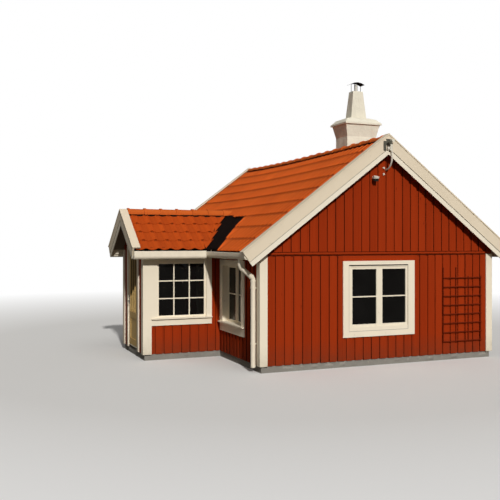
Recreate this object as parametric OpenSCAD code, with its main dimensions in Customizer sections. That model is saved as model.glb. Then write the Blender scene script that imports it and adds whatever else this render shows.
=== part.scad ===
// A timber cottage with a pantiled roof, a masonry chimney and a gabled entrance porch.
// Millimetres, +Z up, the front gable faces -Y and the porch stands on the -X side.
// The origin lies on the ground, in the middle of the overall plan.

/* [Body] */
// Width of the front gable, over the boarding
house_w = 5100; // [4600:50:6000]
// Length of the side walls, over the boarding
house_l = 6680; // [6200:10:8000]
// Height of the side walls at their outer face, above the ground
wall_h = 2315; // [2300:5:2600]
// Thickness of the main walls
wall_t = 150; // [100:5:200]
// Height of the stone plinth above the ground
plinth_h = 120; // [60:5:200]
// Width of the plinth ring, under the walls and the floor edge
plinth_w = 260; // [230:5:400]
// How far the boarding overhangs the plinth
plinth_inset = 20; // [0:1:50]
// Thickness of the floor boards
floor_t = 45; // [30:1:80]
// Height of the lower edge of the upper gable boarding
gable_band_z = 2100; // [2080:5:2200]
// Thickness of the upper gable boarding
gable_clad_t = 22; // [15:1:35]

/* [Roof] */
// Pitch of the main roof, in degrees
roof_pitch = 36.8; // [33:0.1:42]
// Overhang of the boarded roof deck beyond the side walls
eave_over = 230; // [180:5:300]
// Distance from the gable walls to the back of their bargeboards
gable_over = 165; // [100:5:300]
// Thickness of the boarded roof deck
deck_t = 45; // [30:1:70]
// Thickness of the tile layer at the head of a course
tile_t = 45; // [30:1:70]
// Rise of each course above the one below it
tile_step = 22; // [10:1:35]
// Exposed length of one tile course of the body, along the slope
tile_course = 400; // [250:5:450]
// Exposed length of one tile course of the porch, along the slope
porch_course = 310; // [250:5:400]
// How far the tiles reach past the fascia into the gutter
tile_drip = 30; // [15:1:45]
// Outer radius of the half round ridge tiles
ridge_r = 110; // [90:1:140]
// Wall thickness of the ridge tiles
ridge_t = 18; // [12:1:25]
// Cover length of one ridge tile
ridge_cover = 330; // [250:5:420]
// Width of the collar at the end of each ridge tile
ridge_collar = 60; // [30:1:90]
// Width of the metal valley beside the porch roof, along the eaves
valley_gap = 490; // [200:10:600]
// Distance of the valley's head from the ridge, on plan
valley_head = 1900; // [1850:10:2100]
// How far the porch tiles stop above the body's deck, square to its slope
valley_back = 115; // [60:5:150]
// Thickness of the metal valley sheet
valley_t = 5; // [3:1:10]

/* [Eaves and verges] */
// Thickness of the fascia boards
fascia_t = 22; // [15:1:35]
// How far the fascia boards hang below the deck
fascia_drop = 100; // [60:5:120]
// Outer radius of the gutters' round bottom
gutter_r = 62; // [50:1:75]
// Height of the main gutters' upright sides above their round bottom
gutter_side = 50; // [40:5:90]
// Height of the porch gutters' upright sides above their round bottom
porch_gutter_side = 100; // [80:5:120]
// Wall thickness of the gutters
gutter_t = 4; // [3:1:8]
// Outer diameter of the downpipes
pipe_d = 90; // [70:1:100]
// Bend radius of the downpipes
pipe_bend = 95; // [90:1:120]
// Slope of the swan neck from the vertical, in degrees
neck_angle = 50; // [40:1:60]
// Thickness of the upper bargeboards
barge_t = 28; // [20:1:40]
// Thickness of the lower bargeboards
barge_low_t = 18; // [12:1:19]
// Width of the upper bargeboards
barge_w = 200; // [180:5:260]
// Visible width of the lower bargeboards
barge_low_w = 95; // [60:5:140]
// How far the bargeboards run down past the side walls, along the slope
barge_foot = 420; // [380:5:480]
// Thickness of the verge cap boards
cap_t = 22; // [15:1:35]
// Width of the verge cap boards
cap_w = 160; // [120:5:200]
// How far the verge cap boards stand out past the bargeboards
cap_lip = 12; // [5:1:25]
// Width of the corner boards
corner_w = 150; // [100:5:200]
// Thickness of the corner boards and of the window and door casings
trim_t = 22; // [15:1:35]

/* [Windows] */
// Width of the front and back window openings
front_win_w = 1320; // [900:10:1500]
// Height of the large window openings
win_h = 1230; // [900:5:1250]
// Height of the large window openings above the ground
win_z = 670; // [600:5:750]
// Centre of the front window, from the middle of the gable
front_win_x = -95; // [-400:5:400]
// Width of the side window openings
side_win_w = 1070; // [800:10:1150]
// Centre of the side windows, from the nearest gable wall face
side_win_y = 1405; // [1000:5:1450]
// Depth of the front and back windows' sashes behind the casing's face
front_inset = 12; // [5:1:25]
// Depth of the side windows' sashes behind the boarding
side_inset = 95; // [20:5:100]
// Width of the window casings at the sides
casing_w = 130; // [80:5:140]
// Width of the window casings over the head
casing_head = 85; // [60:5:110]
// Width of the window casings under the foot
casing_foot = 115; // [80:5:140]
// Width of the window frames' jambs and heads
frame_w = 25; // [20:1:70]
// Height of the window frames' foot members
frame_foot = 75; // [45:5:90]
// Depth of the window frames
frame_d = 100; // [70:1:100]
// Width of the central mullions
mullion_w = 40; // [30:1:90]
// Width of the sash members
sash_w = 46; // [35:1:70]
// Thickness of the sashes
sash_t = 40; // [30:1:55]
// Depth of the porch sashes behind the frame face, and of the side sashes behind their mullion
sash_inset = 18; // [10:1:30]
// Width of the glazing bars
bar_w = 22; // [16:1:35]
// Thickness of the glass
glass_t = 4; // [3:1:8]
// Thickness of the window sills
sill_t = 26; // [18:1:40]
// How far the side and porch window sills stand out from the wall
sill_out = 65; // [40:1:100]

/* [Porch] */
// Width of the porch, over the boarding
porch_w = 1780; // [1700:10:2000]
// How far the porch stands out from the side wall
porch_out = 1585; // [1450:5:1900]
// Distance from the front gable wall to the porch
porch_back = 2135; // [2100:5:2300]
// Height of the porch side walls' outer face above the head of the door frame
porch_head_h = 66; // [30:2:90]
// Thickness of the porch walls
porch_wall_t = 120; // [90:5:140]
// Pitch of the porch roof, in degrees
porch_pitch = 33.7; // [31:0.1:36]
// Overhang of the porch deck beyond its side walls
porch_eave = 150; // [120:5:200]
// Distance from the porch gable to the back of its bargeboards
porch_gable_over = 255; // [150:5:300]
// Width of the porch's upper bargeboards
porch_barge_w = 165; // [140:5:200]
// Visible width of the porch's lower bargeboards
porch_barge_low_w = 80; // [50:5:110]
// How far the porch bargeboards run down past its side walls, along the slope
porch_foot = 255; // [230:5:300]
// Width of the porch corner boards on the side walls
porch_corner_w = 175; // [120:5:200]
// Width of the porch window openings
porch_win_w = 1075; // [800:5:1120]
// Height of the porch window openings
porch_win_h = 1160; // [800:10:1200]
// Height of the porch window openings above the ground
porch_win_z = 808; // [750:2:860]
// Width of the porch window casings at the sides and over the head
porch_casing_w = 90; // [70:5:110]
// Width of the porch window casings under the foot
porch_casing_foot = 125; // [80:5:140]
// Width of the porch window frames' members
porch_frame_w = 27; // [20:1:45]
// Width of the porch sashes' outer members
porch_sash_w = 38; // [30:1:50]

/* [Entrance door] */
// Width of the door leaf
leaf_w = 730; // [650:5:800]
// Height of the door leaf
leaf_h = 1950; // [1900:5:1960]
// Thickness of the door leaf
leaf_t = 42; // [35:1:50]
// Width of the door casing, over the jamb's edge
door_casing_w = 110; // [80:5:120]
// Clearance round the door leaf
leaf_gap = 7; // [6:0.5:9]
// Width of the door frame members
jamb_w = 55; // [40:1:70]
// Depth of the door frame
jamb_d = 110; // [80:1:120]
// Width of the leaf's stiles and top rail
stile_w = 100; // [80:1:120]
// Height of the middle rail above the leaf's foot
mid_rail_z = 560; // [450:5:700]
// Height of the middle rail and of the foot rail
mid_rail_h = 130; // [100:5:160]
// Radius of the hinge pins
pin_r = 5; // [4:0.5:6]
// Running clearance round the hinge pins
pin_gap = 0.3; // [0.2:0.1:0.5]
// Height of one hinge
hinge_h = 100; // [80:5:120]
// Height of the door's threshold above the floor
threshold_h = 20; // [10:1:40]
// Height of the lever handle above the leaf's foot
handle_z = 900; // [850:5:1000]

/* [Chimney] */
// Width of the chimney shaft
shaft_w = 700; // [560:10:760]
// Depth of the chimney shaft
shaft_d = 490; // [450:10:620]
// Centre of the chimney, to the right of the ridge
shaft_x = 430; // [400:5:520]
// Distance from the front gable wall to the chimney
shaft_back = 1510; // [1300:10:2000]
// Height where the chimney begins to flare
flare_z = 4575; // [4450:5:4700]
// Height of the flare
flare_h = 255; // [150:5:300]
// How far the flare and the crown stand out
flare_out = 88; // [60:1:130]
// Thickness of the crown slab's edge
crown_t = 35; // [10:5:60]
// Height and width of the crown's bevelled shoulder
crown_shoulder = 90; // [60:5:100]
// Height of the sloped top of the crown above its shoulder
crown_slope = 35; // [20:5:80]
// Width of the tapered stack at its foot
stack_w = 370; // [320:5:420]
// Depth of the tapered stack at its foot
stack_d = 245; // [220:5:300]
// Height of the tapered stack
stack_h = 580; // [450:10:650]
// How much the stack narrows over its height
stack_taper = 135; // [60:5:150]
// Diameter of the flue pipe
flue_d = 65; // [60:1:90]
// How far the flue pipe stands above the stack
flue_up = 150; // [80:5:160]
// Length of the rain hood
hood_l = 330; // [300:5:400]
// Rise of the bent rain hood
hood_rise = 45; // [30:5:70]
// Thickness of the rain hood
hood_t = 4; // [3:1:8]

/* [Fittings] */
// Distance of the trellis from the right corner of the front wall
trellis_edge = 250; // [240:5:330]
// Width of the trellis
trellis_w = 930; // [800:10:980]
// Height of the trellis foot above the ground
trellis_z = 340; // [200:10:500]
// Spacing of the trellis rails
trellis_step = 180; // [140:5:220]
// Width and thickness of the trellis laths
lath_w = 18; // [14:1:35]
// Diameter of the lamp under the gable
lamp_d = 110; // [80:1:140]
// Distance of the lamp to the left of the ridge
lamp_x = 230; // [200:10:400]
// Height of the lamp above the ground
lamp_z = 3550; // [3400:10:3700]
// Thickness of the lamp's wall rose
lamp_rose_t = 20; // [10:1:30]
// Diameter of the insulators on the gable
insulator_d = 60; // [45:1:70]

/* [Hidden] */
$fn = 32;
// A small length by which a cutting solid passes the face that it cuts
cut = 1;
// Clearance between the porch walls and the deck that lies on them
seat = 0.1;

// Half sizes and levels of the body
half_w = house_w / 2;
half_l = house_l / 2;
roof_tan = tan(roof_pitch);
floor_z = plinth_h + floor_t;

// Places of the porch: its middle, its walls and its reach
porch_half = porch_w / 2;
porch_y = -half_l + porch_back + porch_half;
porch_x = -half_w - porch_out;
porch_tan = tan(porch_pitch);

// Heights of the layers of the roof above the rafter plane, square to the slope
tiles_top = deck_t + tile_t + tile_step;
cap_top = tiles_top + cap_t;

// Reach of the eaves
eave_x = half_w + eave_over;
eave_face = eave_x + fascia_t;
porch_eave_y = porch_half + porch_eave;
porch_eave_face = porch_eave_y + fascia_t;

// Overall reach on each side, which sets the origin in the middle of the plan
left_reach = half_w + porch_out + porch_gable_over + barge_t + cap_lip;
right_reach = max(eave_face + 2 * gutter_r, slope_pt(half_w, wall_h, roof_pitch, barge_foot, cap_top)[0]);
back_reach = half_l + gable_over + barge_t + cap_lip;
bracket_out = 45;
front_reach = half_l + gable_over + barge_t + bracket_out + insulator_d;
body_x = (left_reach - right_reach) / 2;
body_y = (front_reach - back_reach) / 2;

// The doorway of the porch and the plain doorway behind it
door_w = leaf_w + 2 * leaf_gap + 2 * jamb_w;
door_h = threshold_h + leaf_h + 2 * leaf_gap + jamb_w;
door_top = floor_z + door_h;
porch_wall_h = door_top + porch_head_h;
// The porch windows stand with their casings against the corner boards
porch_win_x = porch_out - (porch_corner_w - trim_t) - porch_casing_w - porch_win_w / 2;
inner_door_w = 800;
inner_door_h = 2000;
inner_door_top = floor_z + inner_door_h;

// The chimney's place
shaft_y = -half_l + shaft_back + shaft_d / 2;
crown_z = flare_z + flare_h;
stack_z = crown_z + crown_t + crown_shoulder + crown_slope;

// A point of a roof's cross section: run s down the slope from the wall's top edge, rise o square to it
function slope_pt(base, h, pitch, s, o) =
    [base + s * cos(pitch) + o * sin(pitch), h - s * sin(pitch) + o * cos(pitch)];
// Height of the plane at rise o above a point at distance x from the ridge
function plane_z(base, h, pitch, x, o) = h + (base - x) * tan(pitch) + o / cos(pitch);

// Rise of the topmost course at distance x from the ridge, on a slope that reaches x_end
function top_course_rise(x_end, pitch, course, x) =
    let (run = course * cos(pitch), top_run = x_end - (ceil(x_end / run) - 1) * run)
    deck_t + tile_t + tile_step * min(x / top_run, 1);

module at_house() {
    translate([body_x, body_y, 0])
        children();
}

// Extrudes an outline drawn in X and Z along +Y, from y0 over a length
module along_y(y0, length) {
    translate([0, y0 + length, 0])
        rotate([90, 0, 0])
            linear_extrude(height = length)
                children();
}

// Extrudes an outline drawn in Y and Z along +X, from x0 over a length
module along_x(x0, length) {
    translate([x0, 0, 0])
        rotate([90, 0, 90])
            linear_extrude(height = length)
                children();
}

// A box given by its two corners
module block(a, b) {
    translate(a)
        cube(b - a);
}

// Outline of one slope's layer between two rises, with a plumb edge at x_end
module layer_outline(base, h, pitch, low, high, x_end) {
    polygon([
        [0, plane_z(base, h, pitch, 0, low)],
        [x_end, plane_z(base, h, pitch, x_end, low)],
        [x_end, plane_z(base, h, pitch, x_end, high)],
        [0, plane_z(base, h, pitch, 0, high)]
    ]);
}

// Outline of one slope's tile courses, whose lower ends step up over the course below
module course_outline(base, h, pitch, course, x_end) {
    run = course * cos(pitch);
    count = ceil(x_end / run);
    steps = [for (i = [0 : count - 1]) each [
        [max(x_end - i * run, 0), plane_z(base, h, pitch, max(x_end - i * run, 0), tiles_top)],
        [max(x_end - (i + 1) * run, 0),
            plane_z(base, h, pitch, max(x_end - (i + 1) * run, 0), deck_t + tile_t)]
    ]];
    polygon(concat(
        [[0, plane_z(base, h, pitch, 0, deck_t)], [x_end, plane_z(base, h, pitch, x_end, deck_t)]],
        steps
    ));
}

// Outline of one bargeboard with a square cut foot and a plumb joint at the apex
module barge_outline(base, h, pitch, low, high, foot) {
    polygon([
        slope_pt(base, h, pitch, foot, low),
        slope_pt(base, h, pitch, foot, high),
        [0, plane_z(base, h, pitch, 0, high)],
        [0, plane_z(base, h, pitch, 0, low)]
    ]);
}

// Everything under the main roof at a given rise, out to the eaves
module main_under(rise) {
    z_end = plane_z(half_w, wall_h, roof_pitch, eave_x, rise);
    along_y(-house_l, 2 * house_l)
        polygon([[-eave_x, 0], [eave_x, 0], [eave_x, z_end],
            [0, plane_z(half_w, wall_h, roof_pitch, 0, rise)], [-eave_x, z_end]]);
}

// Everything under the porch roof, its planes moved out by a width on plan
module porch_under(rise, wider) {
    y_end = porch_eave_face + tile_drip + wider;
    z_end = plane_z(porch_half + wider, porch_wall_h, porch_pitch, y_end, rise);
    translate([0, porch_y, 0])
        along_x(porch_x - 2 * porch_out, 2 * porch_out + porch_out + half_w)
            polygon([[-y_end, 0], [y_end, 0], [y_end, z_end],
                [0, plane_z(porch_half + wider, porch_wall_h, porch_pitch, 0, rise)], [-y_end, z_end]]);
}

// What the metal valleys leave free of tiles on the porch roof
module porch_valley_zone() {
    main_under(deck_t + valley_back);
}

// What the metal valleys leave free of tiles on the body's roof
module valley_zone() {
    intersection() {
        porch_under(tiles_top, valley_gap);
        block([porch_x - porch_out, -roof_reach, 0], [-valley_head, roof_reach, 2 * wall_h]);
    }
}

// The porch's own plan, outside the side wall
module porch_plan() {
    block([porch_x - porch_out, porch_y - porch_half, -cut], [-half_w, porch_y + porch_half, 2 * wall_h]);
}

// Puts a slope's outline on both sides of the porch's middle
module porch_slopes(x0, length) {
    translate([0, porch_y, 0])
        for (side = [0, 1])
            mirror([0, side, 0])
                along_x(x0, length)
                    children();
}

// Window parts stand with x across, z up from the opening's foot and +y into the wall. The casing's widths
// are those of its sides, head and foot, the frame's are those of its sides and head, and of its foot
module window_frame(w, h, mid, casing, members, depth, mid_front, sill_reach) {
    side = members[0];
    foot = members[1];
    difference() {
        union() {
            block([-w / 2 - casing[0], -trim_t, -casing[2]], [w / 2 + casing[0], 0, h + casing[1]]);
            block([-w / 2, 0, 0], [w / 2, depth, h]);
        }
        block([-w / 2 + side, -trim_t - cut, foot], [w / 2 - side, depth + cut, h - side]);
    }
    if (mid > 0)
        block([-mid / 2, mid_front, foot], [mid / 2, depth, h - side]);
    if (sill_reach > trim_t)
        block([-w / 2 - casing[0], -sill_reach, foot - sill_t], [w / 2 + casing[0], -trim_t, foot]);
}

// One sash of w by h with glazing bars that make columns and rows of panes
module sash(w, h, columns, rows, member, inset) {
    pane_w = (w - 2 * member - (columns - 1) * bar_w) / columns;
    pane_h = (h - 2 * member - (rows - 1) * bar_w) / rows;
    difference() {
        block([-w / 2, inset, 0], [w / 2, inset + sash_t, h]);
        for (i = [0 : columns - 1])
            for (j = [0 : rows - 1])
                translate([-w / 2 + member + i * (pane_w + bar_w), inset - cut,
                    member + j * (pane_h + bar_w)])
                    cube([pane_w, sash_t + 2 * cut, pane_h]);
    }
}

// The panes of such a sash
module panes(w, h, columns, rows, member, inset) {
    pane_w = (w - 2 * member - (columns - 1) * bar_w) / columns;
    pane_h = (h - 2 * member - (rows - 1) * bar_w) / rows;
    for (i = [0 : columns - 1])
        for (j = [0 : rows - 1])
            translate([-w / 2 + member + i * (pane_w + bar_w), inset + sash_t / 2,
                member + j * (pane_h + bar_w)])
                cube([pane_w, glass_t, pane_h]);
}

// Puts a sash or its panes on both sides of a mullion
module paired(w) {
    leaf = (w - 2 * frame_w - mullion_w) / 2;
    for (side = [-1, 1])
        translate([side * (leaf + mullion_w) / 2, 0, frame_foot])
            children();
}

// Places of the openings in each wall
module at_front_window() {
    translate([front_win_x, -half_l, win_z])
        children();
}

module at_back_window() {
    translate([-front_win_x, half_l, win_z])
        rotate([0, 0, 180])
            children();
}

module at_left_windows() {
    for (y = [-half_l + side_win_y, half_l - side_win_y])
        translate([-half_w, y, win_z])
            rotate([0, 0, -90])
                children();
}

module at_right_windows() {
    for (y = [-half_l + side_win_y, half_l - side_win_y])
        translate([half_w, y, win_z])
            rotate([0, 0, 90])
                children();
}

module at_porch_windows() {
    translate([-half_w - porch_win_x, porch_y - porch_half, porch_win_z])
        children();
    translate([-half_w - porch_win_x, porch_y + porch_half, porch_win_z])
        rotate([0, 0, 180])
            children();
}

module opening(w, h, depth) {
    block([-w / 2, -cut, 0], [w / 2, depth + cut, h]);
}

// Ground works

module plinth() {
    out_w = half_w - plinth_inset;
    out_l = half_l - plinth_inset;
    porch_a = porch_y - porch_half + plinth_inset;
    porch_b = porch_y + porch_half - plinth_inset;
    color("gray")
        at_house()
            difference() {
                union() {
                    block([-out_w, -out_l, 0], [out_w, out_l, plinth_h]);
                    block([porch_x + plinth_inset, porch_a, 0], [-half_w + plinth_w, porch_b, plinth_h]);
                }
                block([-out_w + plinth_w, -out_l + plinth_w, -cut],
                    [out_w - plinth_w, out_l - plinth_w, plinth_h + cut]);
                block([porch_x + plinth_inset + plinth_w, porch_a + plinth_w, -cut],
                    [-out_w, porch_b - plinth_w, plinth_h + cut]);
            }
}

module floor() {
    color("burlywood")
        at_house()
            difference() {
                block([-half_w + wall_t, -half_l + wall_t, plinth_h],
                    [half_w - wall_t, half_l - wall_t, floor_z]);
                chimney_hole();
            }
}

module porch_floor() {
    color("burlywood")
        at_house()
            block([porch_x + porch_wall_t, porch_y - porch_half + porch_wall_t, plinth_h],
                [-half_w, porch_y + porch_half - porch_wall_t, floor_z]);
}

// Walls of the body

module gable_wall(y0) {
    along_y(y0, wall_t)
        polygon([[-half_w, plinth_h], [half_w, plinth_h], [half_w, wall_h],
            [0, wall_h + half_w * roof_tan], [-half_w, wall_h]]);
}

module front_wall() {
    color("firebrick")
        at_house()
            difference() {
                gable_wall(-half_l);
                at_front_window()
                    opening(front_win_w, win_h, wall_t);
            }
}

module back_wall() {
    color("firebrick")
        at_house()
            difference() {
                gable_wall(half_l - wall_t);
                at_back_window()
                    opening(front_win_w, win_h, wall_t);
            }
}

// A stretch of side wall whose top follows the roof, on the -X side
module side_wall(y0, y1, z0) {
    along_y(y0, y1 - y0)
        polygon([[-half_w, z0], [-half_w + wall_t, z0],
            [-half_w + wall_t, wall_h + wall_t * roof_tan], [-half_w, wall_h]]);
}

module right_wall() {
    color("firebrick")
        at_house()
            difference() {
                mirror([1, 0, 0])
                    side_wall(-half_l + wall_t, half_l - wall_t, plinth_h);
                at_right_windows()
                    opening(side_win_w, win_h, wall_t);
            }
}

module left_wall_front() {
    color("firebrick")
        at_house()
            difference() {
                side_wall(-half_l + wall_t, porch_y - inner_door_w / 2, plinth_h);
                at_left_windows()
                    opening(side_win_w, win_h, wall_t);
            }
}

module left_wall_rear() {
    color("firebrick")
        at_house()
            difference() {
                side_wall(porch_y + inner_door_w / 2, half_l - wall_t, plinth_h);
                at_left_windows()
                    opening(side_win_w, win_h, wall_t);
            }
}

module inner_door_lintel() {
    color("firebrick")
        at_house()
            side_wall(porch_y - inner_door_w / 2, porch_y + inner_door_w / 2, inner_door_top);
}

module gable_boarding(y0) {
    along_y(y0, gable_clad_t)
        polygon([[-half_w, gable_band_z], [half_w, gable_band_z], [half_w, wall_h],
            [0, wall_h + half_w * roof_tan], [-half_w, wall_h]]);
}

module front_gable_boarding() {
    color("firebrick")
        at_house()
            gable_boarding(-half_l - gable_clad_t);
}

module back_gable_boarding() {
    color("firebrick")
        at_house()
            gable_boarding(half_l);
}

// An angle of two boards that covers an outer corner, its faces to -X and -Y
module corner_angle(across, along, height) {
    difference() {
        translate([-trim_t, -trim_t, 0])
            cube([across, along, height]);
        translate([0, 0, -cut])
            cube([across, along, height + 2 * cut]);
    }
}

module corner_boards() {
    color("antiquewhite")
        at_house()
            for (mx = [0, 1])
                for (my = [0, 1])
                    mirror([mx, 0, 0])
                        mirror([0, my, 0])
                            translate([-half_w, -half_l, plinth_h])
                                corner_angle(corner_w, corner_w, gable_band_z - plinth_h);
}

// Porch walls

module porch_side(y_side) {
    translate([0, porch_y, 0])
        mirror([0, y_side > 0 ? 1 : 0, 0])
            along_x(porch_x, porch_out)
                polygon([[-porch_half, plinth_h], [-porch_half + porch_wall_t, plinth_h],
                    [-porch_half + porch_wall_t, porch_wall_h + porch_wall_t * porch_tan - seat],
                    [-porch_half, porch_wall_h - seat]]);
}

module porch_near_wall() {
    color("firebrick")
        at_house()
            difference() {
                porch_side(-1);
                at_porch_windows()
                    opening(porch_win_w, porch_win_h, porch_wall_t);
            }
}

module porch_far_wall() {
    color("firebrick")
        at_house()
            difference() {
                porch_side(1);
                at_porch_windows()
                    opening(porch_win_w, porch_win_h, porch_wall_t);
            }
}

module porch_front_piers() {
    color("firebrick")
        at_house()
            for (side = [0, 1])
                translate([porch_x, porch_y, plinth_h])
                    mirror([0, side, 0])
                        translate([0, -porch_half + porch_wall_t, 0])
                            cube([porch_wall_t, porch_half - porch_wall_t - door_w / 2, door_top - plinth_h]);
}

module porch_gable() {
    in_half = porch_half - porch_wall_t;
    color("firebrick")
        at_house()
            translate([0, porch_y, 0])
                along_x(porch_x, porch_wall_t)
                    polygon([[-in_half, door_top], [in_half, door_top],
                        [in_half, porch_wall_h + porch_wall_t * porch_tan - seat],
                        [0, porch_wall_h + porch_half * porch_tan - seat],
                        [-in_half, porch_wall_h + porch_wall_t * porch_tan - seat]]);
}

module porch_corner_boards() {
    color("antiquewhite")
        at_house()
            for (my = [0, 1])
                translate([porch_x, porch_y, plinth_h])
                    mirror([0, my, 0])
                        translate([0, -porch_half, 0])
                            corner_angle(porch_corner_w, corner_w, porch_wall_h - fascia_drop - plinth_h);
}

// Roof of the body

roof_reach = half_l + gable_over;

module chimney_hole() {
    translate([shaft_x - shaft_w / 2, shaft_y - shaft_d / 2, -cut])
        cube([shaft_w, shaft_d, 3 * wall_h]);
}

module deck_slope() {
    along_y(-roof_reach, 2 * roof_reach)
        layer_outline(half_w, wall_h, roof_pitch, 0, deck_t, eave_x);
}

module tile_slope() {
    along_y(-roof_reach, 2 * roof_reach)
        course_outline(half_w, wall_h, roof_pitch, tile_course, eave_face + tile_drip);
}

module roof_deck_left() {
    color("tan")
        at_house()
            difference() {
                mirror([1, 0, 0])
                    deck_slope();
                porch_plan();
            }
}

module roof_deck_right() {
    color("tan")
        at_house()
            difference() {
                deck_slope();
                chimney_hole();
            }
}

module roof_tiles_left() {
    color("chocolate")
        at_house()
            difference() {
                mirror([1, 0, 0])
                    tile_slope();
                valley_zone();
                porch_under(tiles_top, 0);
            }
}

module roof_tiles_right() {
    color("chocolate")
        at_house()
            difference() {
                tile_slope();
                chimney_hole();
            }
}

// A half round ridge tile with a raised collar, laid along +Y
module ridge_tile(length) {
    rotate([-90, 0, 0])
        difference() {
            union() {
                cylinder(r = ridge_r - ridge_t / 2, h = length);
                cylinder(r = ridge_r, h = ridge_collar);
            }
            translate([0, 0, -cut])
                cylinder(r = ridge_r - ridge_t, h = length + 2 * cut);
            translate([-2 * ridge_r, 0, -cut])
                cube([4 * ridge_r, 2 * ridge_r, length + 2 * cut]);
        }
}

// A run of ridge tiles of equal cover that fills a length
module ridge_run(length) {
    count = round(length / ridge_cover);
    cover = length / count;
    for (i = [0 : count - 1])
        translate([0, i * cover, 0])
            ridge_tile(cover);
}

ridge_in = ridge_r - ridge_t;
ridge_z = plane_z(half_w, wall_h, roof_pitch, ridge_in,
    top_course_rise(eave_face + tile_drip, roof_pitch, tile_course, ridge_in));
ridge_end = roof_reach + barge_t + cap_lip - cap_w;

module ridge_tiles() {
    color("chocolate")
        at_house()
            difference() {
                translate([0, -ridge_end, ridge_z])
                    ridge_run(2 * ridge_end);
                chimney_hole();
            }
}

// Roof of the porch

porch_roof_x = porch_x - porch_gable_over;
porch_ridge_z = plane_z(porch_half, porch_wall_h, porch_pitch, ridge_in,
    top_course_rise(porch_eave_face + tile_drip, porch_pitch, porch_course, ridge_in));

// What the main roof takes away from the porch roof
module main_roof_cut() {
    difference() {
        main_under(deck_t);
        porch_plan();
    }
}

module porch_deck() {
    color("tan")
        at_house()
            difference() {
                porch_slopes(porch_roof_x, -porch_roof_x)
                    layer_outline(porch_half, porch_wall_h, porch_pitch, 0, deck_t, porch_eave_y);
                main_roof_cut();
            }
}

module porch_tiles() {
    color("chocolate")
        at_house()
            difference() {
                porch_slopes(porch_roof_x, -porch_roof_x)
                    course_outline(porch_half, porch_wall_h, porch_pitch, porch_course,
                        porch_eave_face + tile_drip);
                porch_valley_zone();
            }
}

module porch_ridge_tiles() {
    start = porch_roof_x - barge_t - cap_lip + cap_w;
    color("chocolate")
        at_house()
            difference() {
                translate([start, porch_y, porch_ridge_z])
                    rotate([0, 0, -90])
                        ridge_run(-start);
                porch_valley_zone();
            }
}

module valley_flashing() {
    color("dimgray")
        at_house() {
            difference() {
                intersection() {
                    mirror([1, 0, 0])
                        along_y(-roof_reach, 2 * roof_reach)
                            layer_outline(half_w, wall_h, roof_pitch, deck_t, deck_t + valley_t, eave_x);
                    valley_zone();
                }
                porch_under(deck_t, 0);
            }
            difference() {
                intersection() {
                    porch_slopes(porch_roof_x, -porch_roof_x)
                        layer_outline(porch_half, porch_wall_h, porch_pitch, deck_t, deck_t + valley_t,
                            porch_eave_y);
                    porch_valley_zone();
                }
                main_under(deck_t + valley_t);
            }
        }
}

// Boards along the verges

module barge_pair(base, h, pitch, foot, upper_w, lower_w) {
    top = tiles_top;
    low = top - upper_w;
    for (side = [0, 1])
        mirror([side, 0, 0]) {
            along_y(0, barge_t)
                barge_outline(base, h, pitch, low, top, foot);
            along_y(barge_t - barge_low_t, barge_low_t)
                barge_outline(base, h, pitch, low - lower_w, low, foot);
        }
}

module front_bargeboards() {
    color("antiquewhite")
        at_house()
            translate([0, -roof_reach - barge_t, 0])
                barge_pair(half_w, wall_h, roof_pitch, barge_foot, barge_w, barge_low_w);
}

module back_bargeboards() {
    color("antiquewhite")
        at_house()
            translate([0, roof_reach + barge_t, 0])
                rotate([0, 0, 180])
                    barge_pair(half_w, wall_h, roof_pitch, barge_foot, barge_w, barge_low_w);
}

module porch_bargeboards() {
    color("antiquewhite")
        at_house()
            translate([porch_roof_x - barge_t, porch_y, 0])
                rotate([0, 0, -90])
                    barge_pair(porch_half, porch_wall_h, porch_pitch, porch_foot,
                        porch_barge_w, porch_barge_low_w);
}

module cap_pair(base, h, pitch, foot) {
    for (side = [0, 1])
        mirror([side, 0, 0])
            along_y(-cap_lip, cap_w)
                barge_outline(base, h, pitch, tiles_top, cap_top, foot);
}

module verge_caps() {
    color("antiquewhite")
        at_house() {
            translate([0, -roof_reach - barge_t, 0])
                cap_pair(half_w, wall_h, roof_pitch, barge_foot);
            translate([0, roof_reach + barge_t, 0])
                rotate([0, 0, 180])
                    cap_pair(half_w, wall_h, roof_pitch, barge_foot);
            translate([porch_roof_x - barge_t, porch_y, 0])
                rotate([0, 0, -90])
                    cap_pair(porch_half, porch_wall_h, porch_pitch, porch_foot);
        }
}

// Eaves

eave_z = plane_z(half_w, wall_h, roof_pitch, eave_x, 0);
fascia_top = plane_z(half_w, wall_h, roof_pitch, eave_face, deck_t);
porch_eave_z = plane_z(porch_half, porch_wall_h, porch_pitch, porch_eave_y, 0);
porch_fascia_top = plane_z(porch_half, porch_wall_h, porch_pitch, porch_eave_face, deck_t);
// The main eaves stop where the porch eaves cross them
main_stop_near = porch_y - porch_eave_face;
main_stop_far = porch_y + porch_eave_face;

module fascia_boards() {
    color("antiquewhite")
        at_house() {
            block([eave_x, -roof_reach, eave_z - fascia_drop], [eave_face, roof_reach, fascia_top]);
            block([-eave_face, -roof_reach, eave_z - fascia_drop], [-eave_x, main_stop_near, fascia_top]);
            block([-eave_face, main_stop_far, eave_z - fascia_drop], [-eave_x, roof_reach, fascia_top]);
            translate([0, porch_y, 0])
                for (side = [0, 1])
                    mirror([0, side, 0])
                        block([porch_roof_x, porch_eave_y, porch_eave_z - fascia_drop],
                            [-eave_face, porch_eave_face, porch_fascia_top]);
        }
}

// The space of a round-bottomed channel along +z: its rim at y = 0, or above it by a rise, and its
// bottom towards +y
module channel(r, side, rise, length) {
    linear_extrude(length)
        union() {
            translate([0, side])
                circle(r = r);
            translate([-r, -rise])
                square([2 * r, side + rise]);
        }
}

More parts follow.
